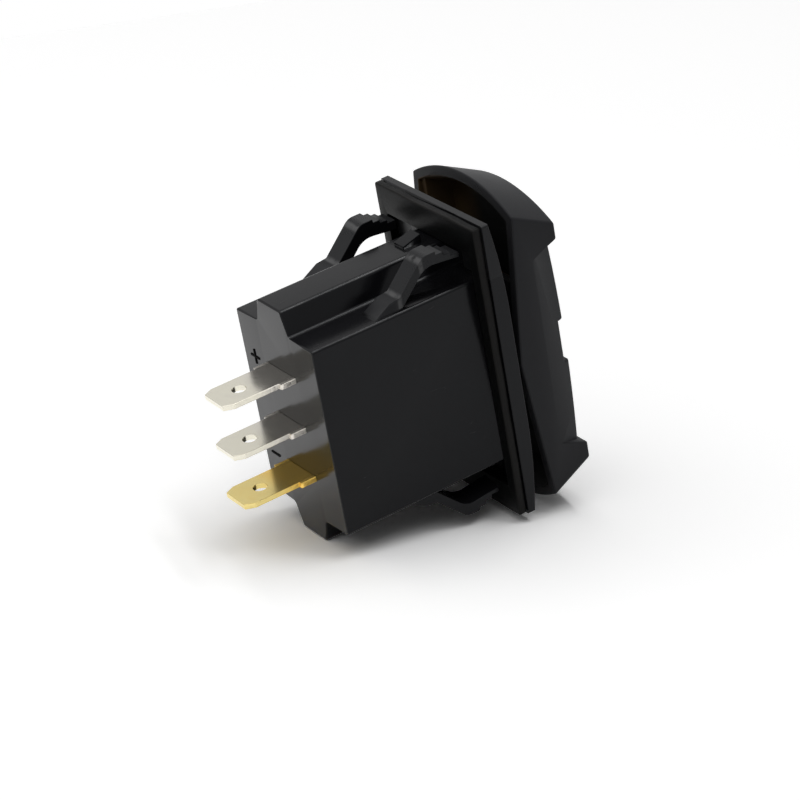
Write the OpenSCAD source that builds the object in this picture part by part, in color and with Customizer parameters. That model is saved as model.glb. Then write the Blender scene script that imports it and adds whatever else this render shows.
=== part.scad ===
// Snap-in panel rocker switch with a three-digit LED voltmeter behind the rocker's window.
// The origin is the centre of the panel seat, which is the gasket's rear face.
// +Y runs to the rear, where the blade tabs are, -Y to the front, where the rocker is, +Z is up.

/* [Housing] */
// Width of the housing's body
body_w = 20.2; // [19.8:0.1:21]
// Height of the body across its two ledges
ledge_h = 29; // [28:0.1:30]
// Height of the body across its two ribs
rib_h = 36.5; // [35.5:0.1:37.5]
// Width of a rib at its crest
rib_crest_w = 6.2; // [5:0.1:7]
// Width of a rib at its foot
rib_foot_w = 8.1; // [7.4:0.1:9]
// Fillet along the foot of a rib
rib_fillet = 0.7; // [0.3:0.1:1]
// Depth of the body behind the panel seat
body_depth = 26.3; // [25:0.1:30]
// Thickness of the body's side walls
wall = 2.1; // [1.9:0.1:2.3]
// Thickness of the body's back wall
back_wall = 2.2; // [1.6:0.1:3]
// Thickness of the barriers between the terminals
barrier_t = 1.2; // [0.8:0.1:1.6]
// Length of the barriers, forward of the back wall
barrier_len = 11; // [6:0.5:12]
// Width of the wedge on each rib's crest that centres the body in the panel
wedge_w = 2.4; // [1.6:0.1:3.2]
// Length of that wedge
wedge_len = 3; // [2:0.1:3.6]
// Distance of the wedge's front from the panel seat
wedge_y = 1.8; // [1.4:0.1:2.4]
// Height of the wedge at its front
wedge_front = 1.3; // [0.9:0.05:1.5]
// Height of the wedge at its rear
wedge_rear = 0.45; // [0.2:0.05:0.7]

/* [Flange and gasket] */
// Width of the flange
flange_w = 25.2; // [24.6:0.1:27]
// Height of the flange
flange_h = 45.7; // [44:0.1:48]
// Thickness of the flange at its middle
flange_t = 2.35; // [2.2:0.05:2.6]
// How much thinner the flange is at its two ends
flange_bow = 1.3; // [0.6:0.1:1.6]
// Length of the flat stretch at the middle of the flange's front
flange_flat = 17; // [14:0.5:25]
// Corner radius of the flange
flange_corner = 0.4; // [0.3:0.1:2]
// Thickness of the panel gasket
gasket_t = 1.3; // [1.1:0.05:1.5]
// How far the gasket stays inside the flange at its long sides
gasket_inset_w = 0.75; // [0.3:0.05:0.9]
// How far the gasket stays inside the flange at its ends
gasket_inset_h = 0.1; // [0.05:0.05:0.9]
// Gap between the gasket's hole and the body
gasket_clear = 0.15; // [0.1:0.05:0.3]

/* [Snap legs] */
// Width of a leg
leg_w = 3.3; // [2.8:0.1:3.6]
// Distance of a leg's middle from the middle of the body
leg_x = 7.85; // [7.4:0.05:8]
// Thickness of a leg's ramp at its inner side
leg_t = 1.8; // [1.5:0.1:2]
// Distance of the foot's rear end from the panel seat
leg_foot_y = 15.8; // [14.8:0.1:17]
// Distance of the foot's top from the panel seat
leg_heel_y = 13; // [12.4:0.1:14]
// Height of the foot above the ledge at its top
leg_heel_rise = 1.55; // [1.2:0.05:1.7]
// Distance of the foot's turn into the ramp from the panel seat
leg_turn_y = 11.3; // [10.8:0.1:12]
// Height of the foot above the ledge at that turn
leg_turn_rise = 1.75; // [1.5:0.05:2]
// Distance of the knee's middle from the panel seat
leg_knee_y = 6; // [5.6:0.1:6.4]
// Height of the knee above the ledge
leg_knee_rise = 6.1; // [5.8:0.05:6.4]
// Outer radius of the knee
leg_knee_r = 2; // [1.6:0.1:2.2]
// Thickness of a leg below its knee, at its inner side
leg_knee_t = 2.45; // [2.2:0.05:2.8]
// Length of the flat between the knee and the first step
leg_flat = 1.3; // [1:0.1:1.6]
// Gap between a leg's free tip and the panel seat
leg_tip_gap = 1.1; // [0.8:0.1:1.3]
// How much lower the tip is than the knee
leg_tip_drop = 1.5; // [1.2:0.1:1.7]
// Thickness of a leg at its tip, at its inner side
leg_tip_t = 1.5; // [1.2:0.05:1.7]
// Length of the fillet inside the knee, along each of its sides
leg_web = 1.6; // [1:0.1:2]
// How much thinner a leg is at its outer side than at its inner side
leg_draft = 0.7; // [0.3:0.05:0.9]
// Distance between the steps that grip the panel
step_pitch = 1.15; // [0.9:0.05:1.2]

/* [Rocker] */
// How far the rocker stays inside the flange at each side
rocker_inset = 0.3; // [0.1:0.05:0.5]
// Length of the rocker across the middle of its arched ends
rocker_len = 50.9; // [49:0.1:53]
// Height of the rocker from its skirt's lowest point to its face
rocker_h = 8.9; // [8.6:0.05:9.4]
// Gap between the skirt's lowest point and the flange
rocker_gap = 0.5; // [0.45:0.05:0.7]
// Angle at which each half of the skirt rises from the middle
skirt_angle = 5.7; // [5.5:0.1:7]
// Radius of the rocker's arched ends
end_r = 25.5; // [24:0.5:32]
// Angle at which the ends lean inwards
end_lean = 27; // [20:0.5:30]
// Thickness of the rocker's walls
rocker_wall = 1.5; // [1.2:0.1:1.6]
// Thickness of the rocker's face
face_t = 2.1; // [1.8:0.1:2.3]
// How much the face falls away from its middle to the end lips
face_drop = 0.75; // [0.4:0.05:0.9]
// Distance of the end lips' front edges from the rocker's middle
lip_z = 16.2; // [15:0.1:17]
// Angle at which the end lips lean towards the middle
lip_lean = 20; // [10:1:25]
// Height of the side shoulders below the face
shoulder_h = 4.5; // [4:0.1:5.2]
// Width of the side shoulders at the face
shoulder_w = 1.6; // [1:0.1:1.8]
// Height of the recess across the middle of the face
recess_h = 6.3; // [6:0.1:7]
// Depth of that recess
recess_d = 0.9; // [0.6:0.1:1]

/* [Rocker pivot] */
// Distance of the pivot behind the flange's front
pivot_depth = 1.75; // [1.6:0.05:2]
// Diameter of the trunnions
pivot_d = 2.4; // [2:0.1:2.6]
// Radial clearance of the trunnions in their sockets
pivot_clear = 0.05; // [0.03:0.01:0.08]
// Length of a trunnion inside the housing's wall
pivot_engage = 1.2; // [0.8:0.1:1.3]
// Gap at the end of a trunnion
pivot_end_gap = 0.2; // [0.1:0.05:0.3]

/* [Actuator] */
// Thickness of the deck
deck_t = 1.2; // [1:0.1:1.3]
// Length of the deck
deck_h = 24; // [22.5:0.1:25]
// Gap between the deck and the rocker's side walls
deck_clear = 0.2; // [0.1:0.05:0.3]
// Width of the ledge inside the rocker that the deck seats on
deck_ledge = 1; // [0.8:0.1:1.2]
// Thickness of the arms
arm_t = 1.2; // [1:0.1:1.4]
// Radius of the arms round the trunnions
arm_r = 2.3; // [2:0.1:2.5]
// Gap between the arms and the housing's walls
arm_clear = 0.3; // [0.2:0.05:0.4]
// Outside diameter of the plunger's stem
stem_d = 6.4; // [6:0.1:6.8]
// Length of the stem behind the deck
stem_len = 8.7; // [8:0.1:9]

/* [Plunger and spring] */
// Diameter of the plunger's bore
bore_d = 4; // [3.6:0.1:4.4]
// Radial clearance of the plunger in its bore
plunger_clear = 0.08; // [0.05:0.01:0.1]
// Length of the spring in the stem
spring_len = 5; // [4.6:0.1:5.4]
// Wire diameter of the spring
spring_wire = 0.4; // [0.35:0.05:0.45]
// Gap between the spring and its bore
spring_clear = 0.2; // [0.15:0.05:0.3]
// Number of turns in the spring
spring_turns = 6; // [5:1:7]
// Gap between the plunger's tip and the contact blade
tip_gap = 0.1; // [0.08:0.02:0.2]

/* [Contacts] */
// Distance of the contact blade's front from the panel seat
blade_y = 6.9; // [6.6:0.1:7.4]
// Width of the contact blade
blade_w = 6; // [5.4:0.1:6.4]
// Thickness of the contact blade
blade_t = 0.8; // [0.6:0.05:1]
// Length of the blade on the side of its contact
blade_reach = 8.8; // [8.4:0.1:9.4]
// Length of the blade on its other side
blade_tail = 5.6; // [4.5:0.1:6]
// Gap between the blade and its fulcrum
fulcrum_gap = 0.05; // [0.04:0.01:0.1]
// Diameter of the contact rivets' heads
contact_d = 3; // [2.6:0.1:3.4]
// Height of the contact rivets' heads
contact_h = 0.7; // [0.5:0.05:0.8]
// Diameter of the contact rivets' shanks
shank_d = 1.4; // [1:0.1:1.6]
// Open gap between the contacts at rest
contact_gap = 0.72; // [0.7:0.02:1]
// Distance of the contacts from the blade's fulcrum
contact_z = 6.4; // [6.2:0.1:6.6]

/* [Terminals] */
// Width of a blade tab
tab_w = 6.4; // [6:0.1:6.8]
// Thickness of the terminals
tab_t = 0.8; // [0.6:0.05:0.9]
// Length of a tab behind the body
tab_len = 10.9; // [9.5:0.1:12]
// Distance between neighbouring tabs
tab_pitch = 7.8; // [7.6:0.1:8.2]
// Length of the bevels at a tab's tip
tip_bevel_len = 1.4; // [1:0.1:2]
// Width of the bevels at a tab's tip
tip_bevel_w = 0.75; // [0.4:0.05:1]
// Diameter of the hole in a tab
hole_d = 2.1; // [1.6:0.1:2.4]
// Distance of that hole from the tip
hole_inset = 4.1; // [3.6:0.1:4.6]
// Width across the shoulders at a tab's root
shoulder_root_w = 7.5; // [7.2:0.1:8]
// Length of the shoulders behind the body
shoulder_root_len = 2.4; // [1.5:0.1:3]
// Width across the stop inside the back wall
stop_w = 9; // [8.6:0.1:9.6]
// Length of that stop
stop_len = 3; // [2:0.1:4]
// Gap between a terminal and its slot
slot_clear = 0.05; // [0.03:0.01:0.1]

/* [Supply to the meter] */
// Distance of the supply springs' seats from the panel seat
feed_y = 4.2; // [4.1:0.1:4.6]
// Width of the terminals' arms to the supply springs
feed_arm_w = 2.4; // [2.2:0.1:2.6]
// Outside diameter of the supply springs
feed_d = 2.2; // [2:0.1:2.3]
// Wire diameter of the supply springs
feed_wire = 0.35; // [0.3:0.05:0.4]
// Number of turns in a supply spring
feed_turns = 8; // [6:1:10]
// Gap between a supply spring and its stud, so that the rocker can tilt
feed_gap = 0.3; // [0.25:0.05:0.4]
// Diameter of a stud's head
stud_d = 2.6; // [2.2:0.1:2.8]
// Height of a stud's head
stud_h = 0.5; // [0.4:0.05:0.6]
// Diameter of a stud's shank
stud_shank_d = 1.4; // [1:0.1:1.8]

/* [Meter] */
// How far the window stays inside the display at each side
window_inset = 0.5; // [0.4:0.05:0.8]
// Height of the window
window_h = 5.2; // [5:0.1:5.6]
// Gap between the lens and the window's edge
lens_clear = 0.05; // [0.03:0.01:0.1]
// Width of the lens's rim behind the window
lens_rim = 0.8; // [0.5:0.1:1]
// Thickness of that rim
lens_rim_t = 0.6; // [0.5:0.05:0.7]
// How far the display stays inside the circuit board at each side
display_inset = 0.6; // [0.3:0.05:0.9]
// Height of the display
display_h = 7.6; // [7:0.1:8]
// Thickness of the display
display_t = 2.6; // [2.2:0.1:2.8]
// Height of a digit
digit_h = 4.4; // [4:0.1:4.6]
// Width of a digit
digit_w = 2.6; // [2.4:0.1:3]
// Distance between neighbouring digits
digit_pitch = 4.8; // [4.4:0.1:5]
// Width of a digit's segments
segment_w = 0.5; // [0.4:0.05:0.6]
// Depth of the segments in the display's face
segment_d = 0.4; // [0.3:0.05:0.6]
// Gap between neighbouring segments
segment_gap = 0.12; // [0.1:0.01:0.2]
// Gap between the circuit board and the ledges inside the rocker
board_clear = 0.2; // [0.1:0.05:0.4]
// How far the circuit board stays inside the deck at each end
board_inset = 1; // [0.8:0.1:1.5]
// Thickness of the circuit board
board_t = 1; // [0.8:0.1:1.1]

/* [Parts on the circuit board] */
// Distance of the chip from the board's left side
chip_margin = 2.8; // [2:0.1:3.2]
// Gap between the chip and the regulator
chip_gap = 1.7; // [1:0.1:2]
// Height of the chip
chip_h = 3.6; // [3.2:0.1:3.8]
// Thickness of the chip
chip_t = 1.4; // [1.2:0.1:1.6]
// Distance between the chip's leads
lead_pitch = 1.27; // [1:0.01:1.3]
// Width of a lead
lead_w = 0.4; // [0.3:0.05:0.5]
// Length of a lead beside the chip
lead_reach = 0.9; // [0.7:0.1:1]
// Thickness of a lead
lead_t = 0.3; // [0.2:0.05:0.4]
// Distance of the right-hand parts' middles from the board's right side
right_x = 3.9; // [3.4:0.1:4.2]
// Width of the regulator
regulator_w = 4.4; // [4:0.1:4.8]
// Height of the regulator
regulator_h = 2.4; // [2.2:0.1:2.6]
// Thickness of the regulator
regulator_t = 1.5; // [1.3:0.1:1.6]
// Width of the regulator's fin
fin_w = 1.7; // [1.4:0.1:2]
// Height of the regulator's fin
fin_h = 4; // [3.4:0.1:4.4]
// Thickness of the regulator's fin
fin_t = 0.4; // [0.3:0.05:0.5]
// Diameter of the capacitor's can
can_d = 4; // [3.6:0.1:4.2]
// Height of the capacitor's can
can_t = 2.4; // [2:0.1:2.6]
// Width of the capacitor's base
can_base = 4.3; // [4.2:0.1:4.6]
// Thickness of the capacitor's base
can_base_t = 0.5; // [0.4:0.1:0.8]
// Width of the trimmer's base
trimmer_base = 3.4; // [3:0.1:3.6]
// Thickness of the trimmer's base
trimmer_base_t = 0.9; // [0.7:0.1:1]
// Diameter of the trimmer's dial
dial_d = 2.4; // [2:0.1:2.6]
// Height of the trimmer's dial
dial_t = 1.3; // [1.2:0.1:1.6]
// Length of the slot in the dial
dial_slot = 1.8; // [1.4:0.1:1.9]
// Width of the slot in the dial
dial_slot_w = 0.4; // [0.3:0.05:0.5]
// Width of a chip resistor
resistor_w = 2; // [1.6:0.1:2.4]
// Height of a chip resistor
resistor_h = 1.2; // [1:0.1:1.3]
// Thickness of a chip resistor
resistor_t = 0.5; // [0.4:0.05:0.6]
// Distance between the chip resistors
resistor_pitch = 1.9; // [1.6:0.1:1.95]
// Distance of the chip resistors' middle from the board's left side
resistor_x = 4; // [3:0.1:4.6]

/* [Hidden] */
$fn = 48;
// Overlap that joins shapes of one moulding, and the reach of cuts past a face
join = 0.4;
past = 1;

// Levels along Y, from the panel seat forward
flange_rear_y = -gasket_t;
flange_front_y = flange_rear_y - flange_t;
pivot_y = flange_front_y + pivot_depth;
skirt_y = flange_front_y - rocker_gap;
face_y = skirt_y - rocker_h;
recess_y = face_y + recess_d;
face_in_y = face_y + face_t;
display_y = face_in_y + lens_rim_t;
board_y = display_y + display_t;
deck_y = board_y + board_t;
deck_rear_y = deck_y + deck_t;
stem_end_y = deck_rear_y + stem_len;

// Levels along Y, from the panel seat to the rear
back_in_y = body_depth - back_wall;
blade_rear_y = blade_y + blade_t;
moving_face_y = blade_rear_y + contact_h;
fixed_face_y = moving_face_y + contact_gap;
fixed_foot_y = fixed_face_y + contact_h;
tab_tip_y = body_depth + tab_len;

// Widths and heights inside the body
cavity_w = body_w - 2 * wall;
cavity_h = ledge_h - 2 * wall;
arm_outer_x = cavity_w / 2 - arm_clear;
arm_inner_x = arm_outer_x - arm_t;
feed_x = (stem_d / 2 + arm_inner_x) / 2;
line_z = tab_pitch;
ground_z = -tab_pitch;

// The flange's bow: an arc beyond each end of the flat stretch
bow_run = (flange_h - flange_flat) / 2;
bow_r = (bow_run * bow_run + flange_bow * flange_bow) / (2 * flange_bow);

// The rocker's face: one arc from lip to lip
face_r = (lip_z * lip_z + face_drop * face_drop) / (2 * face_drop);
end_ref_y = skirt_y - rocker_len / 2 * tan(skirt_angle);
shoulder_y = face_y + shoulder_h;
rocker_w = flange_w - 2 * rocker_inset;
rocker_in_w = rocker_w - 2 * rocker_wall;

// The meter's widths and heights, each inside the one before
pocket_w = rocker_in_w - 2 * deck_ledge;
board_w = pocket_w - 2 * board_clear;
board_h = deck_h - 2 * board_inset;
display_w = board_w - 2 * display_inset;
window_w = display_w - 2 * window_inset;
chip_w = board_w - chip_margin - chip_gap - regulator_w / 2 - right_x;

// Draws a profile in the Y-Z plane and gives it a width along X
module along_x(width) {
  rotate([90, 0, 90])
    linear_extrude(width, center = true)
      children();
}

// Draws a profile in the X-Z plane and carries it from one Y level to another
module along_y(from_y, to_y) {
  translate([0, to_y, 0])
    rotate([90, 0, 0])
      linear_extrude(to_y - from_y)
        children();
}

// A cylinder along +Y
module rod_y(d, from_y, to_y) {
  translate([0, from_y, 0])
    rotate([-90, 0, 0])
      cylinder(d = d, h = to_y - from_y);
}

// A cylinder along X, centred
module rod_x(d, length) {
  rotate([0, 90, 0])
    cylinder(d = d, h = length, center = true);
}

// A block given by its centre in X and Z and its two Y levels
module block(size_x, size_z, from_y, to_y) {
  translate([-size_x / 2, from_y, -size_z / 2])
    cube([size_x, to_y - from_y, size_z]);
}

module rounded_rect(size_x, size_y, r) {
  square([size_x - 2 * r, size_y], center = true);
  square([size_x, size_y - 2 * r], center = true);
  for (sx = [-1, 1], sy = [-1, 1])
    translate([sx * (size_x / 2 - r), sy * (size_y / 2 - r)])
      circle(r);
}

// A compression spring along +Y with closed end turns
function coil_level(turn, turns, wire, length) =
  let (close = 1.15 * wire, free = (length - wire - 2 * close) / (turns - 2))
  wire / 2 + (turn < 1 ? turn * close
    : turn > turns - 1 ? length - wire - (turns - turn) * close
    : close + (turn - 1) * free);

module coil(outer_d, wire, length, turns) {
  steps = 14;
  sides = 6;
  count = steps * turns;
  ring_r = (outer_d - wire) / 2;
  points = [
    for (i = [0:count], j = [0:sides - 1])
      let (a = 360 * i / steps, b = 360 * j / sides, r = ring_r + wire / 2 * cos(b))
        [r * cos(a), coil_level(i / steps, turns, wire, length) + wire / 2 * sin(b), r * sin(a)]
  ];
  sleeve = [
    for (i = [0:count - 1], j = [0:sides - 1])
      let (k = (j + 1) % sides)
        [i * sides + j, (i + 1) * sides + j, (i + 1) * sides + k, i * sides + k]
  ];
  start = [[for (j = [0:sides - 1]) j]];
  end = [[for (j = [0:sides - 1]) count * sides + sides - 1 - j]];
  polyhedron(points = points, faces = concat(sleeve, start, end));
}

// Housing

// Section of the body: a block with a tapered rib at its top and bottom
module body_section() {
  rib_rise = (rib_h - ledge_h) / 2;
  foot_x = rib_foot_w / 2 - (rib_foot_w - rib_crest_w) / 2 * rib_fillet / rib_rise;
  square([body_w, ledge_h], center = true);
  for (up = [0, 1])
    mirror([0, up]) {
      polygon([
        [-rib_foot_w / 2, ledge_h / 2 - join],
        [-rib_foot_w / 2, ledge_h / 2],
        [-rib_crest_w / 2, rib_h / 2],
        [rib_crest_w / 2, rib_h / 2],
        [rib_foot_w / 2, ledge_h / 2],
        [rib_foot_w / 2, ledge_h / 2 - join]
      ]);
      for (side = [0, 1])
        mirror([side, 0])
          translate([foot_x, ledge_h / 2])
            difference() {
              translate([-join, -join])
                square(rib_fillet + join);
              translate([rib_fillet, rib_fillet])
                circle(rib_fillet);
            }
    }
}

// Side view of the flange: flat in the middle, thinner towards both ends
module flange_profile() {
  translate([flange_front_y, -flange_flat / 2])
    square([flange_t, flange_flat]);
  for (side = [-1, 1])
    translate([flange_front_y + bow_r, side * flange_flat / 2])
      circle(bow_r, $fn = 180);
}

module flange() {
  intersection() {
    along_y(flange_front_y, flange_rear_y)
      rounded_rect(flange_w, flange_h, flange_corner);
    along_x(flange_w + past)
      flange_profile();
  }
}

// Side view of a snap leg, with the ledge at height 0: its foot, ramp, knee and steps
leg_knee = [leg_knee_y, leg_knee_rise - leg_knee_r];
leg_turn = [leg_turn_y, leg_turn_rise];
leg_chord = leg_knee - leg_turn;
// The ramp's outer side runs from the turn along the knee's tangent
ramp_angle = atan2(leg_chord[1], leg_chord[0]) - asin(leg_knee_r / norm(leg_chord));
ramp_len = sqrt(leg_chord * leg_chord - leg_knee_r * leg_knee_r);
ramp = [cos(ramp_angle), sin(ramp_angle)];
tip_rise = leg_knee_rise - leg_tip_drop;

// The leg with the space below it still filled
module leg_outline() {
  step_y = leg_knee_y - leg_flat;
  steps = floor((step_y - leg_tip_gap) / step_pitch);
  step_rise = leg_tip_drop / steps;
  stairs = [
    for (i = [0:steps - 1], low = [0, 1])
      [step_y - i * step_pitch, leg_knee_rise - (i + low) * step_rise]
  ];
  back = [
    [leg_tip_gap, -join],
    [leg_foot_y, -join],
    [leg_foot_y, 0],
    [leg_heel_y, leg_heel_rise],
    leg_turn,
    leg_turn + ramp * ramp_len,
    leg_knee,
    [leg_knee_y, leg_knee_rise]
  ];
  polygon(concat(back, stairs, [[leg_tip_gap, tip_rise]]));
  translate(leg_knee)
    circle(leg_knee_r);
}

function cross_of(a, b) = a[0] * b[1] - a[1] * b[0];

// The space below the leg, with a fillet inside the knee
module leg_arch() {
  tip_low = [leg_tip_gap, tip_rise - leg_tip_t];
  slope = [leg_knee_y, leg_knee_rise - leg_knee_t] - tip_low;
  under = slope / norm(slope);
  ramp_in = leg_turn + [-ramp[1], ramp[0]] * leg_t;
  corner = tip_low + under * cross_of(ramp_in - tip_low, ramp) / cross_of(under, ramp);
  from = corner - under * leg_web;
  to = corner - ramp * leg_web;
  low = -join - past;
  pieces = 8;
  fillet = [
    for (i = [0:pieces])
      let (t = i / pieces)
        (1 - t) * (1 - t) * from + 2 * t * (1 - t) * corner + t * t * to
  ];
  polygon(concat(
    [[leg_tip_gap - past, low], tip_low - under * past],
    fillet,
    [ramp_in + ramp * (low - ramp_in[1]) / ramp[1]]
  ));
}

// A leg, whose arch is tilted about its inner side so that the outer side is thinner
module snap_leg() {
  tilt = atan(leg_draft / leg_w);
  through = 4 * leg_w;
  difference() {
    along_x(leg_w)
      leg_outline();
    translate([-leg_w / 2, 0, 0])
      rotate([0, -tilt, 0])
        along_x(through)
          leg_arch();
  }
}

module snap_legs() {
  for (side = [0, 1], up = [0, 1])
    mirror([side, 0, 0])
      mirror([0, 0, up])
        translate([leg_x, 0, ledge_h / 2])
          snap_leg();
}

// Wedge on a rib's crest, rising towards the flange
module rib_wedge() {
  along_x(wedge_w)
    polygon([
      [wedge_y, rib_h / 2 - join],
      [wedge_y, rib_h / 2 + wedge_front],
      [wedge_y + wedge_len, rib_h / 2 + wedge_rear],
      [wedge_y + wedge_len, rib_h / 2 - join]
    ]);
}

module housing() {
  color("#1b1b1d") {
    difference() {
      union() {
        along_y(flange_rear_y - join, body_depth)
          body_section();
        flange();
        snap_legs();
        for (up = [0, 1])
          mirror([0, 0, up])
            rib_wedge();
      }
      block(cavity_w, cavity_h, flange_front_y - past, back_in_y);
      translate([0, pivot_y, 0])
        rod_x(pivot_d + 2 * pivot_clear, cavity_w + 2 * (pivot_engage + pivot_end_gap));
      for (level = [line_z, 0, ground_z])
        translate([0, 0, level])
          block(shoulder_root_w + 2 * slot_clear, tab_t + 2 * slot_clear, back_in_y - past, body_depth + past);
    }
    for (side = [-1, 1])
      translate([0, 0, side * tab_pitch / 2])
        block(cavity_w + join, barrier_t, back_in_y - barrier_len, back_in_y + join);
  }
}

module panel_gasket() {
  color("#141416")
    difference() {
      along_y(-gasket_t, 0)
        rounded_rect(flange_w - 2 * gasket_inset_w, flange_h - 2 * gasket_inset_h, flange_corner);
      block(body_w + 2 * gasket_clear, rib_h + 2 * gasket_clear, -gasket_t - past, past);
    }
}

// Rocker

// Everything inside the arched, leaning ends, each end a cylinder whose axis leans with it
module end_forms(inset) {
  reach = 2 * rocker_len;
  for (up = [0, 1])
    mirror([0, 0, up])
      intersection() {
        translate([-reach / 2, -reach, 0])
          cube([reach, 2 * reach, reach]);
        translate([0, end_ref_y, rocker_len / 2])
          rotate([end_lean, 0, 0])
            translate([0, 0, -end_r])
              rotate([90, 0, 0])
                cylinder(r = end_r - inset, h = reach, center = true, $fn = 120);
      }
}

// Side view of the rocker before its ends are arched
module rocker_profile() {
  half = rocker_len / 2 + past;
  skirt_end_y = skirt_y - half * tan(skirt_angle);
  intersection() {
    polygon([
      [skirt_y, 0],
      [skirt_end_y, half],
      [face_y, half],
      [face_y, -half],
      [skirt_end_y, -half]
    ]);
    union() {
      translate([face_y + face_r, 0])
        circle(face_r, $fn = 360);
      difference() {
        translate([face_y, -half])
          square([rocker_h, 2 * half]);
        between_lips();
      }
    }
  }
}

// Side view of the space between the leaning end lips
module between_lips() {
  deep_y = face_y + rocker_h + past;
  front_z = lip_z + past * tan(lip_lean);
  deep_z = lip_z - (rocker_h + past) * tan(lip_lean);
  polygon([
    [face_y - past, -front_z],
    [deep_y, -deep_z],
    [deep_y, deep_z],
    [face_y - past, front_z]
  ]);
}

// What is cut away to make the shoulder along the +X side
module shoulder_cut() {
  slope = shoulder_w / shoulder_h;
  intersection() {
    linear_extrude(rocker_len, center = true)
      polygon([
        [rocker_w / 2, shoulder_y],
        [rocker_w / 2 - slope * (shoulder_h + past), face_y - past],
        [rocker_w / 2 + past, face_y - past],
        [rocker_w / 2 + past, shoulder_y]
      ]);
    along_x(rocker_w + 4 * past)
      between_lips();
  }
}

module rocker_cap() {
  color("#18181a")
    difference() {
      intersection() {
        along_x(rocker_w)
          rocker_profile();
        end_forms(0);
      }
      for (side = [0, 1])
        mirror([side, 0, 0])
          shoulder_cut();
      block(rocker_w + past, recess_h, face_y - past, recess_y);
      block(window_w, window_h, face_y, face_in_y + past);
      intersection() {
        union() {
          block(pocket_w, rocker_len, face_in_y, deck_y + join);
          block(rocker_in_w, rocker_len, deck_y, skirt_y + past);
        }
        end_forms(rocker_wall);
      }
    }
}

// Meter inside the rocker

module display_lens() {
  color("#2a1a14") {
    block(window_w - 2 * lens_clear, window_h - 2 * lens_clear, recess_y, face_in_y + join);
    block(window_w + 2 * lens_rim, window_h + 2 * lens_rim, face_in_y, display_y);
  }
}

// One segment of a digit, lying along X, with pointed ends
module segment(length) {
  half = length / 2 - segment_gap;
  edge = half - segment_w / 2;
  polygon([
    [-half, 0],
    [-edge, segment_w / 2],
    [edge, segment_w / 2],
    [half, 0],
    [edge, -segment_w / 2],
    [-edge, -segment_w / 2]
  ]);
}

module digit() {
  span_x = digit_w - segment_w;
  span_z = (digit_h - segment_w) / 2;
  for (level = [-1, 0, 1])
    translate([0, level * span_z])
      segment(span_x);
  for (side = [-1, 1], level = [-1, 1])
    translate([side * span_x / 2, level * span_z / 2])
      rotate(90)
        segment(span_z);
}

module digit_faces() {
  for (place = [-1, 0, 1])
    translate([place * digit_pitch, 0])
      digit();
  for (place = [-1, 0])
    translate([(place + 0.5) * digit_pitch, -(digit_h - segment_w) / 2])
      circle(d = segment_w, $fn = 24);
}

module display_module() {
  color("#3a3a3c")
    difference() {
      block(display_w, display_h, display_y, board_y);
      along_y(display_y - past, display_y + segment_d)
        digit_faces();
    }
}

module digit_segments() {
  color("#d8d8d2")
    along_y(display_y, display_y + segment_d)
      digit_faces();
}

module meter_board() {
  color("#5a3a1e")
    block(board_w, board_h, board_y, deck_y);
}

// A part soldered to the board's front, above (side 1) or below (side -1) the display
module on_board(x, side) {
  translate([x, board_y, side * (board_h + display_h) / 4])
    children();
}

module meter_chip() {
  leads = floor(chip_w / lead_pitch);
  color("#202022")
    on_board(chip_margin + chip_w / 2 - board_w / 2, 1) {
      block(chip_w, chip_h, -chip_t, 0);
      for (i = [0:leads - 1])
        translate([(i - (leads - 1) / 2) * lead_pitch, 0, 0])
          block(lead_w, chip_h + 2 * lead_reach, -lead_t, 0);
    }
}

module regulator() {
  color("#242426")
    on_board(board_w / 2 - right_x, 1) {
      block(regulator_w, regulator_h, -regulator_t, 0);
      block(fin_w, fin_h, -fin_t, 0);
    }
}

module capacitor() {
  color("#b9bcc0")
    on_board(board_w / 2 - right_x, -1) {
      rod_y(can_d, -can_t, 0);
      block(can_base, can_base, -can_base_t, 0);
    }
}

module trimmer() {
  color("#e4e4e0")
    on_board(0, -1)
      difference() {
        union() {
          block(trimmer_base, trimmer_base, -trimmer_base_t, 0);
          rod_y(dial_d, -dial_t, 0);
        }
        block(dial_slot, dial_slot_w, -dial_t - past, -trimmer_base_t);
      }
}

module chip_resistors() {
  color("#2e2c2c")
    for (i = [-1:1])
      on_board(resistor_x - board_w / 2, -1)
        translate([0, 0, i * resistor_pitch])
          block(resistor_w, resistor_h, -resistor_t, 0);
}

// Actuator: deck inside the rocker, arms with trunnions, and the plunger's stem

module arm_profile() {
  foot_h = 3 * arm_r;
  translate([pivot_y, 0])
    circle(arm_r);
  polygon([
    [deck_rear_y - join, -foot_h / 2],
    [pivot_y, -arm_r],
    [pivot_y, arm_r],
    [deck_rear_y - join, foot_h / 2]
  ]);
}

module actuator() {
  arm_mid_x = (arm_inner_x + arm_outer_x) / 2;
  color("#232325")
    difference() {
      union() {
        block(rocker_in_w - 2 * deck_clear, deck_h, deck_y, deck_rear_y);
        for (side = [-1, 1])
          translate([side * arm_mid_x, 0, 0])
            along_x(arm_t)
              arm_profile();
        for (side = [-1, 1])
          translate([side * (arm_outer_x + cavity_w / 2 + pivot_engage - join) / 2, pivot_y, 0])
            rod_x(pivot_d, cavity_w / 2 + pivot_engage - arm_outer_x + join);
        rod_y(stem_d, deck_rear_y - join, stem_end_y);
      }
      rod_y(bore_d, deck_rear_y, stem_end_y + past);
      for (side = [-1, 1])
        translate([side * feed_x, 0, 0])
          rod_y(stud_shank_d + 2 * slot_clear, deck_y - past, deck_rear_y + past);
    }
}

// Stud that carries the supply through the deck to the board
module feed_stud(side) {
  color("#c9a24a")
    translate([side * feed_x, 0, 0]) {
      rod_y(stud_shank_d, deck_y, deck_rear_y + stud_h / 2);
      rod_y(stud_d, deck_rear_y, deck_rear_y + stud_h);
    }
}

module feed_stud_positive() {
  feed_stud(1);
}

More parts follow.
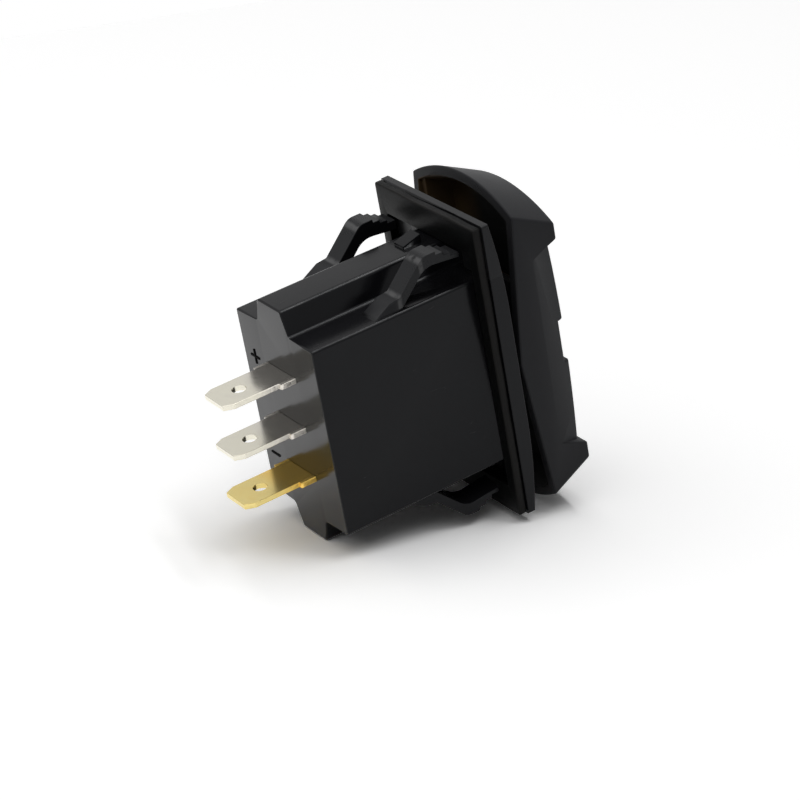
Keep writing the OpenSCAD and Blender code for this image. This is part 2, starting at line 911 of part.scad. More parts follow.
module feed_stud_ground() {
  feed_stud(-1);
}

// Switching mechanism

module plunger() {
  plunger_d = bore_d - 2 * plunger_clear;
  tip_y = blade_y - tip_gap;
  color("#d9d7cf") {
    rod_y(plunger_d, deck_rear_y + spring_len, tip_y - plunger_d / 2);
    translate([0, tip_y - plunger_d / 2, 0])
      sphere(d = plunger_d);
  }
}

module plunger_spring() {
  color("#b7b9bc")
    translate([0, deck_rear_y, 0])
      coil(bore_d - 2 * spring_clear, spring_wire, spring_len, spring_turns);
}

// The blade's notches take the prongs of the load terminal
prong_w = 0.7;
prong_gap = 0.25;
notch_x = blade_w / 2 - prong_w - prong_gap;

module contact_blade() {
  corner = 0.8;
  color("#c08a4a")
    difference() {
      along_y(blade_y, blade_rear_y)
        translate([0, (blade_reach - blade_tail) / 2])
          rounded_rect(blade_w, blade_reach + blade_tail, corner);
      for (side = [-1, 1])
        translate([side * (notch_x + blade_w / 2), 0, 0])
          block(blade_w, tab_t + 2 * prong_gap, blade_y - past, blade_rear_y + past);
      translate([0, 0, contact_z])
        rod_y(shank_d + 2 * slot_clear, blade_y - past, blade_rear_y + past);
    }
}

module moving_contact() {
  color("#d2d4d6")
    translate([0, 0, contact_z]) {
      rod_y(shank_d, blade_y, blade_rear_y + contact_h / 2);
      rod_y(contact_d, blade_rear_y, moving_face_y);
    }
}

module fixed_contact() {
  color("#d2d4d6")
    translate([0, 0, contact_z]) {
      rod_y(contact_d, fixed_face_y, fixed_foot_y);
      rod_y(shank_d, fixed_face_y + contact_h / 2, fixed_foot_y + tab_t);
    }
}

// Terminals

// Plan view of a blade terminal from its inner end to its tip
module terminal_plan(inner_y) {
  difference() {
    union() {
      polygon([
        [-tab_w / 2, inner_y],
        [-tab_w / 2, tab_tip_y - tip_bevel_len],
        [-tab_w / 2 + tip_bevel_w, tab_tip_y],
        [tab_w / 2 - tip_bevel_w, tab_tip_y],
        [tab_w / 2, tab_tip_y - tip_bevel_len],
        [tab_w / 2, inner_y]
      ]);
      translate([-shoulder_root_w / 2, back_in_y - join])
        square([shoulder_root_w, back_wall + shoulder_root_len + join]);
      translate([-stop_w / 2, back_in_y - stop_len])
        square([stop_w, stop_len]);
    }
    translate([0, tab_tip_y - hole_inset])
      circle(d = hole_d);
  }
}

module flat_terminal(level, inner_y) {
  translate([0, 0, level])
    linear_extrude(tab_t, center = true)
      terminal_plan(inner_y);
}

// Arm from a terminal forward to the seat of a supply spring, on one side of the blade
module feed_arm(side, level) {
  inward = level > 0 ? -1 : 1;
  reach = abs(level) + tab_t / 2 + feed_d / 2;
  arm_rear_y = fixed_foot_y + 3 * tab_t;
  inner_x = feed_x - feed_arm_w / 2;
  translate([side * feed_x, 0, level])
    block(feed_arm_w, tab_t, feed_y, arm_rear_y);
  translate([side * feed_x, 0, level - inward * tab_t / 2 + inward * reach / 2])
    block(feed_arm_w, reach, feed_y, feed_y + tab_t);
  translate([side * (inner_x + feed_arm_w) / 2, 0, level])
    block(inner_x + feed_arm_w, tab_t, fixed_foot_y, arm_rear_y);
}

module line_terminal() {
  foot_top_z = line_z + tab_t / 2;
  foot_low_z = contact_z - contact_d / 2;
  color("#c8cacc")
    difference() {
      union() {
        flat_terminal(line_z, fixed_foot_y);
        feed_arm(1, line_z);
        translate([0, 0, (foot_top_z + foot_low_z) / 2])
          block(tab_w, foot_top_z - foot_low_z, fixed_foot_y, fixed_foot_y + tab_t);
      }
      translate([0, 0, contact_z])
        rod_y(shank_d + 2 * slot_clear, fixed_foot_y - past, fixed_foot_y + tab_t + past);
    }
}

module load_terminal() {
  fulcrum_y = blade_rear_y + fulcrum_gap;
  color("#c8cacc") {
    flat_terminal(0, fulcrum_y);
    for (side = [-1, 1])
      translate([side * (blade_w - prong_w) / 2, 0, 0])
        block(prong_w, tab_t, blade_y - blade_t, fulcrum_y + join);
  }
}

module ground_terminal() {
  color("#c99a3c") {
    flat_terminal(ground_z, fixed_foot_y);
    feed_arm(-1, ground_z);
  }
}

module feed_spring(side) {
  stud_face_y = deck_rear_y + stud_h;
  color("#c9a24a")
    translate([side * feed_x, stud_face_y + feed_gap, 0])
      coil(feed_d, feed_wire, feed_y - stud_face_y - feed_gap, feed_turns);
}

module feed_spring_positive() {
  feed_spring(1);
}

module feed_spring_ground() {
  feed_spring(-1);
}

housing();
panel_gasket();
rocker_cap();
display_lens();
display_module();
digit_segments();
meter_board();
meter_chip();
regulator();
capacitor();
trimmer();
chip_resistors();
actuator();
feed_stud_positive();
feed_stud_ground();
plunger();
plunger_spring();
contact_blade();
moving_contact();
fixed_contact();
line_terminal();
load_terminal();
ground_terminal();
feed_spring_positive();
feed_spring_ground();
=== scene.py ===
"""Visual model of a snap-in panel rocker switch with a three-digit voltmeter behind its window.

All sizes are in millimetres until a mesh is made, and then in metres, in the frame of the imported
solids: +Y runs to the rear, where the blade tabs are, -Y to the front, where the rocker is, and +Z
is up.
"""

import logging
from collections.abc import Callable, Mapping, Sequence
from dataclasses import dataclass
from enum import Enum

import bmesh
import bpy
import numpy as np
from mathutils import Matrix, Vector


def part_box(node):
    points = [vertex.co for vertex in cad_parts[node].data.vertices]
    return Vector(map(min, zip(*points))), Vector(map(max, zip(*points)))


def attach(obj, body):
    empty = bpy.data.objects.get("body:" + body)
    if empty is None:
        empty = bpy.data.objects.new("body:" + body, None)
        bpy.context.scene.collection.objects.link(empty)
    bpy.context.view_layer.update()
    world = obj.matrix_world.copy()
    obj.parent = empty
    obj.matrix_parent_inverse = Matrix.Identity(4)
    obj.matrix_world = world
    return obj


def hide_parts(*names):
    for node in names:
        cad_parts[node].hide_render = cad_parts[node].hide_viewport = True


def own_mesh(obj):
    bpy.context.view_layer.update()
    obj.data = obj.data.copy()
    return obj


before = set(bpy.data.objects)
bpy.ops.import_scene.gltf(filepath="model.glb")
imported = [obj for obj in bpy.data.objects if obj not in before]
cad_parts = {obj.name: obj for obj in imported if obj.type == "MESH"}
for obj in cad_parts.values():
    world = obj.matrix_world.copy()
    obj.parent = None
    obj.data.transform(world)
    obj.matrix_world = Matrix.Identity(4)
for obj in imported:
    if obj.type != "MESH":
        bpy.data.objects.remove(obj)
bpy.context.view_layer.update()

LOG = logging.getLogger("panel_switch")
MM = 0.001

Colour = tuple[float, float, float]
Point = tuple[float, float, float]
Span = tuple[float, float]

# Places on the housing that several pieces and finishes follow.
BACK_Y = 26.3
LEDGE_Z = 14.5

# How a new mesh is cleaned, in metres and degrees.
MERGE, SLIVER, CREASE = 1e-7, 1e-8, 40.0

# Layers of a noise: few in a grain, more in clouds and most in stains.
COARSE, GRAINY, PLAIN, CLOUDY, STAINED = 1.0, 2.0, 3.0, 4.0, 5.0
EVEN: Point = (1.0, 1.0, 1.0)
STAIN_FROM: Span = (0.5, 0.8)
COOL_TINT = (0.95, 0.97, 1.0, 1.0)
WHITE = (1.0, 1.0, 1.0, 1.0)


class Body(Enum):
    """The moving bodies that pieces ride on."""

    HOUSING = "housing_body"
    ROCKER = "rocker_body"
    PLUNGER = "plunger_body"
    BLADE = "blade_body"


class Axis(Enum):
    """Direction of a metal's grain, as the stretch of its pattern along X, Y and Z."""

    X = (0.04, 1.0, 1.0)
    Y = (1.0, 0.04, 1.0)
    Z = (1.0, 1.0, 0.04)


# Shader maths


class Sig:
    """One output of a node; on values Python's operators add Math nodes."""

    def __init__(self, shader: "Shader", node: bpy.types.Node, output: int | str = 0) -> None:
        """Points at an output.

        Args:
            shader: The shader that the node belongs to.
            node: The node.
            output: Which of its outputs is meant, by name or number.
        """
        self.shader = shader
        self.node = node
        self.output = output

    def out(self, output: int | str) -> "Sig":
        """Another output of the same node, by name or number."""
        return Sig(self.shader, self.node, output)

    def math(self, operation: str, *values: "Value") -> "Sig":
        """Adds one Math node on the given values, in their order."""
        return self.shader.node("ShaderNodeMath", {"operation": operation}, dict(enumerate(values)))

    def __add__(self, other: "Value") -> "Sig":
        """Sum."""
        return self.math("ADD", self, other)

    def __sub__(self, other: "Value") -> "Sig":
        """Difference."""
        return self.math("SUBTRACT", self, other)

    def __rsub__(self, other: "Value") -> "Sig":
        """Difference from a plain number."""
        return self.math("SUBTRACT", other, self)

    def __mul__(self, other: "Value") -> "Sig":
        """Product."""
        return self.math("MULTIPLY", self, other)

    def __pow__(self, other: "Value") -> "Sig":
        """Power."""
        return self.math("POWER", self, other)

    def __abs__(self) -> "Sig":
        """Absolute value."""
        return self.math("ABSOLUTE", self)

    def at_most(self, other: "Value") -> "Sig":
        """The smaller of this and the other."""
        return self.math("MINIMUM", self, other)

    def at_least(self, other: "Value") -> "Sig":
        """The larger of this and the other."""
        return self.math("MAXIMUM", self, other)

    def rise(self, low: float, high: float) -> "Sig":
        """A smooth step from 0 at low to 1 at high."""
        sockets = {"Value": self, "From Min": low, "From Max": high}
        return self.shader.node("ShaderNodeMapRange", {"interpolation_type": "SMOOTHSTEP"}, sockets)

    def past(self, place: float, low: float, high: float) -> "Sig":
        """A smooth step beside a place, from 0 at the offset low to 1 at the offset high."""
        return self.rise(place + low, place + high)

    def near(self, place: float, core: float = 0.05, reach: float = 0.3) -> "Sig":
        """1 within the core of a place, fading to 0 at the reach."""
        return 1 - abs(self - place).rise(core, reach)

    def swing(self, size: float) -> "Sig":
        """A pattern from 0 to 1 moved to lie about 0, with that full size."""
        return (self - 0.5) * size

    __radd__ = __add__
    __rmul__ = __mul__


Value = Sig | float | int | Sequence[float]


@dataclass(frozen=True)
class Pattern:
    """A cloudy noise with patches of a size in millimetres.

    A small stretch draws the patches out along that axis, and a twist warps them. Where a span is
    given, the pattern rises from 0 to 1 over that part of the noise.
    """

    size: float
    detail: float = PLAIN
    stretch: Point = EVEN
    twist: float = 0.0
    span: Span | None = None


class Shader:
    """A node tree under construction, in a new material or in a world."""

    def __init__(self, owner: str | bpy.types.World) -> None:
        """Starts with an empty tree.

        Args:
            owner: The world that has the tree, or the name of a new material for it.
        """
        self.data = bpy.data.materials.new(owner) if isinstance(owner, str) else owner
        self.data.use_nodes = True
        self.tree = self.data.node_tree
        self.tree.nodes.clear()

    def node(
        self,
        kind: str,
        settings: Mapping[str, object] | None = None,
        sockets: Mapping[int | str, Value] | None = None,
    ) -> Sig:
        """Adds one node.

        Args:
            kind: The node's type.
            settings: Its properties, which are set first.
            sockets: Its inputs by name or number, each a plain value or another node's output.

        Returns:
            Its first output.
        """
        made = self.tree.nodes.new(kind)
        for key, value in (settings or {}).items():
            setattr(made, key, value)
        for key, value in (sockets or {}).items():
            if isinstance(value, Sig):
                self.tree.links.new(value.node.outputs[value.output], made.inputs[key])
            else:
                made.inputs[key].default_value = value
        return Sig(self, made)

    def place(self, stretch: Point = EVEN) -> Sig:
        """Object coordinates in millimetres, with each axis stretched by a factor."""
        sockets = {0: self.node("ShaderNodeTexCoord").out("Object"), 1: [f / MM for f in stretch]}
        return self.node("ShaderNodeVectorMath", {"operation": "MULTIPLY"}, sockets)

    def axes(self) -> tuple[Sig, ...]:
        """X, Y and Z in millimetres."""
        split = self.node("ShaderNodeSeparateXYZ", sockets={0: self.place()})
        return tuple(split.out(axis) for axis in range(3))

    def noise(self, pattern: Pattern) -> Sig:
        """The noise of a pattern.

        Args:
            pattern: The pattern.

        Returns:
            Its value from 0 to 1.
        """
        sockets = {"Vector": self.place(pattern.stretch), "Scale": 1.0 / pattern.size}
        sockets |= {"Detail": pattern.detail, "Distortion": pattern.twist}
        cloud = self.node("ShaderNodeTexNoise", sockets=sockets)
        return cloud.rise(*pattern.span) if pattern.span else cloud

    def cells(self, size: float) -> Sig:
        """Distance to the nearest of scattered points, about one in each cell of that size."""
        sockets = {"Vector": self.place(), "Scale": 1.0 / size}
        return self.node("ShaderNodeTexVoronoi", sockets=sockets)

    def spots(self, size: float, rim: Span) -> Sig:
        """Scattered spots, about one in each cell of that size, with a soft rim given in cells."""
        return 1 - self.cells(size).rise(*rim)

    def blend(self, factor: Value, first: Value, second: Value) -> Sig:
        """Mixes two colours.

        Args:
            factor: 0 for the first and 1 for the second.
            first: The first colour.
            second: The second colour.

        Returns:
            The mixed colour.
        """
        one, two = (c if isinstance(c, Sig) else (*c, 1.0) for c in (first, second))
        return self.node("ShaderNodeMix", {"data_type": "RGBA"}, {0: factor, 6: one, 7: two}).out(2)

    def shade(self, colour: Colour, factor: Sig, spread: float) -> Sig:
        """A colour varied from darker to lighter by a factor from 0 to 1.

        Args:
            colour: The middle colour.
            factor: The pattern.
            spread: How far the ends lie from the middle, as a share of the colour.

        Returns:
            The varied colour.
        """
        dark, light = ([c * (1.0 + way * spread) for c in colour] for way in (-1, 1))
        return self.blend(factor, dark, light)

    def bump(self, height: Sig, depth: float) -> Sig:
        """A normal bent by a height pattern that is that many millimetres deep."""
        sockets = {"Height": height, "Distance": depth * MM, "Strength": 1.0}
        return self.node("ShaderNodeBump", sockets=sockets)

    def seen_directly(self) -> Sig:
        """A factor for how a surface or the world is seen.

        Returns:
            1 on camera, glossy and transmitted rays, and 0 on all others.
        """
        path = self.node("ShaderNodeLightPath")
        rays = ("Camera", "Glossy", "Transmission")
        camera, gloss, through = (path.out(f"Is {ray} Ray") for ray in rays)
        return camera.at_least(gloss).at_least(through)

    def finish(self, sockets: Mapping[str, Value]) -> bpy.types.Material:
        """Ends the material in one Principled shader with those sockets."""
        return self.end(self.node("ShaderNodeBsdfPrincipled", sockets=sockets))

    def end(self, surface: Sig) -> bpy.types.Material | bpy.types.World:
        """Links a shader to the output.

        Args:
            surface: The shader.

        Returns:
            The material or world.
        """
        kind = "World" if isinstance(self.data, bpy.types.World) else "Material"
        self.node(f"ShaderNodeOutput{kind}", sockets={"Surface": surface})
        return self.data


# Finishes


@dataclass(frozen=True)
class Plastic:
    """Moulded plastic: a fine grain, faint flow clouds and a few dull rubbed patches."""

    name: str
    colour: Colour
    roughness: float
    specular: float = 0.3
    grain: float = 0.22
    depth: float = 0.006
    clouds: float = 0.25
    flow: Pattern = Pattern(6.0, CLOUDY, twist=0.6)
    rubbed: Pattern = Pattern(2.2, STAINED, span=(0.6, 0.75))

    def material(self) -> bpy.types.Material:
        """Builds the material.

        Returns:
            The material.
        """
        s = Shader(self.name)
        fine, flow = s.noise(Pattern(self.grain, GRAINY)), s.noise(self.flow)
        satin = self.roughness + fine.swing(0.08) + flow.swing(0.08)
        return s.finish({
            "Base Color": s.shade(self.colour, flow, self.clouds),
            "Roughness": satin + s.noise(self.rubbed) * 0.07,
            "Specular IOR Level": self.specular,
            "Normal": s.bump(fine, self.depth),
        })


@dataclass(frozen=True)
class HousingNylon:
    """Black filled nylon: smooth faces with fine scuffs, a polished back and greyer upper legs.

    Painted highlights lie across the upper legs at their bends and along the ribs' crests and the
    ledges' edges; the lower legs and the legs' inner sides keep the darker body colour as painted
    shade.
    """

    name: str = "housing_nylon"
    colour: Colour = (0.0058, 0.0058, 0.0068)
    # Greyer colour of the upper legs only; the lower legs and legs' inner sides stay darker as
    # painted shade.
    leg_colour: Colour = (0.0165, 0.0168, 0.018)
    # Pale colour of the painted highlights at the upper legs' bends and along the rib and ledge
    # edges.
    highlight_colour: Colour = (0.125, 0.125, 0.126)
    scuff_colour: Colour = (0.02, 0.0195, 0.019)
    clouds: float = 0.35
    leg_share: float = 0.9
    bend_highlight_share: float = 0.75
    edge_highlight_share: float = 0.8
    scuff_share: float = 0.5
    roughness: float = 0.19
    specular: float = 0.105
    back_coat: float = 0.15
    coat_roughness: float = 0.16
    depth: float = 0.005
    fine: Pattern = Pattern(0.2, GRAINY)
    flow: Pattern = Pattern(7.0, CLOUDY, twist=0.8)
    scratches: Pattern = Pattern(0.35, GRAINY, (1.0, 0.12, 0.5), span=(0.66, 0.74))
    scuffed: Pattern = Pattern(5.0, span=(0.52, 0.66))
    # Patches that break up the painted highlights: at the legs' bends, then along the edges.
    rubbed: Pattern = Pattern(1.1, span=(0.25, 0.55))
    edge_highlight: Pattern = Pattern(1.6, CLOUDY, (1.0, 0.3, 1.0), span=(0.3, 0.6))
    leg_x: float = 6.2
    knee_y: float = 7.3
    turn_y: float = 11.4
    bend_highlight_span: Span = (0.1, 0.55)
    ledge_x: float = 10.1
    crest_x: float = 3.1
    crest_z: float = 18.25
    panel_y: Span = (0.3, 1.5)

    def edge_highlight_lines(self, x: Sig, y: Sig, z: Sig) -> Sig:
        """A mask along the ribs' crest edges and the ledges' outer edges, behind the panel.

        Args:
            x: Place across the body.
            y: Place along its depth.
            z: Place up its height.

        Returns:
            The mask of painted highlight lines: 1 on those edges, fading beside them.
        """
        crest = abs(x).near(self.crest_x) * abs(z).past(self.crest_z, -0.3, -0.1)
        brink = abs(z).near(LEDGE_Z) * abs(x).past(self.ledge_x, -0.3, -0.1)
        return crest.at_least(brink) * y.rise(*self.panel_y)

    def material(self) -> bpy.types.Material:
        """Builds the material; the masks follow the depth, height and width of the body.

        Returns:
            The material.
        """
        s = Shader(self.name)
        x, y, z = s.axes()
        back = y.past(BACK_Y, -0.2, -0.05)
        # Greyer upper legs; the lower legs and the legs' inner sides keep the darker body colour as
        # painted shade.
        leg = z.past(LEDGE_Z, 0.1, 0.3) * abs(x).past(self.leg_x, 0.02, 0.12)
        fine, flow = s.noise(self.fine), s.noise(self.flow)
        scuff = s.noise(self.scratches) * s.noise(self.scuffed) * (1 - back)
        bends = abs(y - self.knee_y).at_most(abs(y - self.turn_y))
        bend_highlight = (1 - bends.rise(*self.bend_highlight_span)) * leg * s.noise(self.rubbed)
        edge_highlight = self.edge_highlight_lines(x, y, z) * s.noise(self.edge_highlight) * (1 - back)
        body = s.shade(self.colour, flow, self.clouds)
        body = s.blend(leg * self.leg_share, body, self.leg_colour)
        # Painted highlights: pale bands at the upper legs' bends and lines along the ribs' and
        # ledges' edges.
        pale = (bend_highlight * self.bend_highlight_share).at_least(edge_highlight * self.edge_highlight_share)
        body = s.blend(pale, body, self.highlight_colour)
        satin = self.roughness + fine.swing(0.06) + flow.swing(0.1) + scuff * 0.15
        return s.finish({
            "Base Color": s.blend(scuff * self.scuff_share, body, self.scuff_colour),
            "Roughness": satin + leg * 0.1 - back * 0.01,
            "Specular IOR Level": self.specular,
            "Specular Tint": COOL_TINT,
            "Coat Weight": back * self.back_coat,
            "Coat Roughness": self.coat_roughness,
            "Normal": s.bump(fine * (1 - back * 0.8) + scuff * 0.4, self.depth),
        })


@dataclass(frozen=True)
class RockerSatin:
    """Black satin plastic of the rocker.

    The walls inside its arched ends are darkened as painted shade, with painted brown light towards
    one side, standing in for light shining through the shell.
    """

    name: str = "rocker_satin"
    colour: Colour = (0.0155, 0.0156, 0.0172)
    # Painted shade inside the arched ends.
    inner_shade_colour: Colour = (0.003, 0.003, 0.003)
    # Painted brown light inside the ends towards +X, standing in for light shining through the
    # shell.
    brown_glow_colour: Colour = (0.08, 0.052, 0.025)
    brown_glow_from: Span = (2.0, 9.0)
    clouds: float = 0.3
    roughness: float = 0.52
    specular: float = 0.105
    depth: float = 0.006
    fine: Pattern = Pattern(0.16, GRAINY)
    flow: Pattern = Pattern(8.0, CLOUDY, twist=0.7)
    hairlines: Pattern = Pattern(0.3, GRAINY, (1.0, 0.3, 0.1), span=(0.68, 0.76))
    handled: Pattern = Pattern(6.0, span=(0.5, 0.65))
    end_y: float = -6.69
    end_z: float = 25.45
    end_radius: float = 25.5
    lean: float = 27.0
    wall: float = 1.5
    inner_x: float = 10.8
    face_in_y: float = -10.95

    def depth_inside_end(self, s: Shader) -> Sig:
        """How far a point lies inside the leaning cylinder of the nearer end, in millimetres.

        The point is turned back by the lean about the end's foot; its distance from the cylinder's
        axis is the root of across squared plus height squared, and the depth is the radius less
        that.

        Args:
            s: The shader that it is worked out in.

        Returns:
            The depth.
        """
        x, y, z = s.axes()
        cos, sin = (float(wave(np.radians(self.lean))) for wave in (np.cos, np.sin))
        height = (abs(z) - self.end_z) * cos - (y - self.end_y) * sin + self.end_radius
        return self.end_radius - (x * x + height * height) ** 0.5

    def material(self) -> bpy.types.Material:
        """Builds the material.

        Returns:
            The material.
        """
        s = Shader(self.name)
        x, y, _ = s.axes()
        inside = self.depth_inside_end(s).past(self.wall, -0.25, -0.05)
        inside = inside * (1 - abs(x).past(self.inner_x, 0.05, 0.2))
        inside = inside * y.past(self.face_in_y, -0.2, -0.05)
        # Painted shade inside the ends, turning to painted brown light towards +X.
        shade_and_glow = s.blend(x.rise(*self.brown_glow_from), self.inner_shade_colour, self.brown_glow_colour)
        fine, flow = s.noise(self.fine), s.noise(self.flow)
        scratched = s.noise(self.hairlines) * s.noise(self.handled)
        satin = self.roughness + fine.swing(0.1) + flow.swing(0.14) + scratched * 0.1
        return s.finish({
            "Base Color": s.blend(inside, s.shade(self.colour, flow, self.clouds), shade_and_glow),
            "Roughness": satin + inside * 0.15,
            "Specular IOR Level": self.specular,
            "Specular Tint": COOL_TINT,
            "Normal": s.bump(fine, self.depth),
        })


@dataclass(frozen=True)
class SealRubber:
    """Matt moulded rubber: dirty pores, paler sides, a painted highlight on the ends' rear edge."""

    name: str = "seal_rubber"
    colour: Colour = (0.003, 0.0031, 0.0032)
    # Pale colour for dirt clouds, the paler sides and the painted highlight on the ends' rear edge.
    dust_and_highlight: Colour = (0.02, 0.0195, 0.019)
    clouds: float = 0.3
    side_pale: float = 0.75
    cloud_dust: float = 0.2
    dust_from: Span = (0.55, 0.8)
    roughness: float = 0.4
    specular: float = 0.05
    depth: float = 0.004
    cloud: Pattern = Pattern(3.0, STAINED, twist=0.5)
    pore_size: float = 0.35
    speck_size: float = 1.6
    speck_rim: Span = (0.05, 0.1)
    edge_x: float = 12.0
    edge_y: float = -0.25
    edge_z: float = 22.4

    def material(self) -> bpy.types.Material:
        """Builds the material; the sides and ends lie beyond the edge's width and height.

        Returns:
            The material.
        """
        s = Shader(self.name)
        x, y, z = s.axes()
        # Painted highlight along the rear edge of the ends; the sides beyond the edge's width are
        # paler.
        end_edge_highlight = abs(z).past(self.edge_z, 0.0, 0.15) * y.past(self.edge_y, -0.1, 0.0)
        rim = (abs(x).past(self.edge_x, 0.0, 0.15) * self.side_pale).at_least(end_edge_highlight)
        pores, cloud = s.cells(self.pore_size), s.noise(self.cloud)
        specks = s.spots(self.speck_size, self.speck_rim) * rim
        dust_and_highlight_mask = (cloud.rise(*self.dust_from) * self.cloud_dust + rim).at_least(specks)
        return s.finish({
            "Base Color": s.blend(dust_and_highlight_mask, s.shade(self.colour, cloud, self.clouds), self.dust_and_highlight),
            "Roughness": self.roughness + (pores - 0.4) * 0.1 + dust_and_highlight_mask * 0.2,
            "Specular IOR Level": self.specular,
            "Normal": s.bump(pores + cloud * 0.15, self.depth),
        })


@dataclass(frozen=True)
class RolledMetal:
    """Bare or plated metal: fine grain along its rolling direction, with faint tarnish clouds."""

    name: str
    colour: Colour
    tarnish: Colour
    roughness: float
    grain: Axis = Axis.Y
    pitch: float = 0.12
    depth: float = 0.0025
    cloud: Pattern = Pattern(2.4, STAINED, twist=0.8)
    pit_size: float = 0.5
    pit_rim: Span = (0.08, 0.16)

    def material(self) -> bpy.types.Material:
        """Builds the material.

        Returns:
            The material.
        """
        s = Shader(self.name)
        lines = s.noise(Pattern(self.pitch, stretch=self.grain.value))
        cloud, pits = s.noise(self.cloud), s.spots(self.pit_size, self.pit_rim)
        stain = cloud.rise(*STAIN_FROM) * 0.55 + pits * 0.25
        return s.finish({
            "Base Color": s.blend(stain, s.shade(self.colour, lines, 0.06), self.tarnish),
            "Roughness": self.roughness + lines.swing(0.16) + cloud.swing(0.12) + pits * 0.1,
            "Metallic": 1.0,
            "Normal": s.bump(lines - pits * 0.5, self.depth),
        })


@dataclass(frozen=True)
class TabMetal:
    """Stamped strip: rolling lines, deeper colour at the root, a dull film and sheared sides."""

    name: str
    colour: Colour
    root_colour: Colour
    film: float
    roughness: float = 0.18
    lines: Pattern = Pattern(0.12, stretch=Axis.Y.value)
    cloud: Pattern = Pattern(2.4, STAINED, twist=0.8)
    tears: Pattern = Pattern(0.35)
    dent_size: float = 0.9
    dent_rim: Span = (0.06, 0.14)
    half_w: float = 3.2
    root_y: Span = (29.0, 33.0)
    dulling: float = 0.82
    line_depth: float = 0.0025
    shear_depth: float = 0.05

    def material(self) -> bpy.types.Material:
        """Builds the material; the sheared sides lie beyond the half width.

        Returns:
            The material.
        """
        s = Shader(self.name)
        x, y, _ = s.axes()
        lines, cloud = s.noise(self.lines), s.noise(self.cloud)
        dents = s.spots(self.dent_size, self.dent_rim)
        torn = s.noise(self.tears) * abs(x).past(self.half_w, -0.04, -0.02)
        strip = s.blend(y.rise(*self.root_y) * (1 - cloud * 0.3), self.root_colour, self.colour)
        dull = [c * self.dulling for c in self.root_colour]
        relief = (lines - dents * 0.8) * self.line_depth + torn * self.shear_depth
        return s.finish({
            "Base Color": s.blend(cloud.rise(*STAIN_FROM) * 0.35 + dents * 0.3, strip, dull),
            "Roughness": self.roughness + lines.swing(0.16) + cloud.swing(0.12) + torn * 0.35,
            "Metallic": 1.0 - self.film - dents * 0.05,
            "Normal": s.bump(relief, 1.0),
        })


@dataclass(frozen=True)
class SmokedLens:
    """Smoked acrylic: dark, glossy and partly see-through, with faint polishing haze."""

    name: str = "smoked_lens"
    colour: Colour = (0.02, 0.008, 0.006)
    opacity: float = 0.4
    roughness: float = 0.07
    coat: float = 0.3
    haze: Pattern = Pattern(1.8, STAINED)
    wipes: Pattern = Pattern(0.25, GRAINY, (0.08, 1.0, 1.0), span=(0.62, 0.78))

    def material(self) -> bpy.types.Material:
        """Builds the material.

        Returns:
            The material.
        """
        s = Shader(self.name)
        haze = s.noise(self.haze)
        return s.finish({
            "Base Color": s.shade(self.colour, haze, 0.3),
            "Roughness": self.roughness + haze * 0.05 + s.noise(self.wipes) * 0.06,
            "Alpha": self.opacity + haze.swing(0.06),
            "Coat Weight": self.coat,
        })


@dataclass(frozen=True)
class BoardLaminate:
    """Brown paper laminate under lacquer: woven fibres and paler copper runs below the lacquer."""

    name: str = "board_laminate"
    colour: Colour = (0.05, 0.026, 0.011)
    copper: Colour = (0.12, 0.06, 0.022)
    roughness: float = 0.34
    specular: float = 0.15
    depth: float = 0.02
    weft: Pattern = Pattern(0.25, GRAINY, (0.2, 1.0, 1.0))
    warp: Pattern = Pattern(0.25, GRAINY, (1.0, 1.0, 0.2))
    breaks: Pattern = Pattern(5.0, COARSE, span=(0.44, 0.5))
    run_pitch: float = 2.54
    run_width: float = 0.5

    def material(self) -> bpy.types.Material:
        """Builds the material; the copper runs repeat across X and are broken by a coarse noise.

        Returns:
            The material.
        """
        s = Shader(self.name)
        x, _, _ = s.axes()
        weave = s.noise(self.weft) * 0.5 + s.noise(self.warp) * 0.5
        off = x.math("PINGPONG", x, self.run_pitch / 2)
        run = (1 - off.past(self.run_width / 2, 0.0, 0.08)) * s.noise(self.breaks)
        return s.finish({
            "Base Color": s.blend(run, s.shade(self.colour, weave, 0.4), self.copper),
            "Roughness": self.roughness + weave * 0.15 - run * 0.08,
            "Specular IOR Level": self.specular,
            "Normal": s.bump(weave * 0.5 + run, self.depth),
        })


@dataclass(frozen=True)
class CanMetal:
    """Drawn aluminium can on a dark base: the base is told apart by its depth."""

    name: str = "capacitor_can"
    colour: Colour = (0.55, 0.56, 0.57)
    base: Colour = (0.012, 0.012, 0.013)
    base_y: float = -8.27
    roughness: float = 0.28
    depth: float = 0.003
    lines: Pattern = Pattern(0.15, stretch=Axis.X.value)

    def material(self) -> bpy.types.Material:
        """Builds the material.

        Returns:
            The material.
        """
        s = Shader(self.name)
        _, y, _ = s.axes()
        low, lines = y.past(self.base_y, -0.03, 0.01), s.noise(self.lines)
        return s.finish({
            "Base Color": s.blend(low, s.shade(self.colour, lines, 0.08), self.base),
            "Metallic": 1 - low,
            "Roughness": self.roughness + lines * 0.12 + low * 0.2,
            "Normal": s.bump(lines, self.depth),
        })


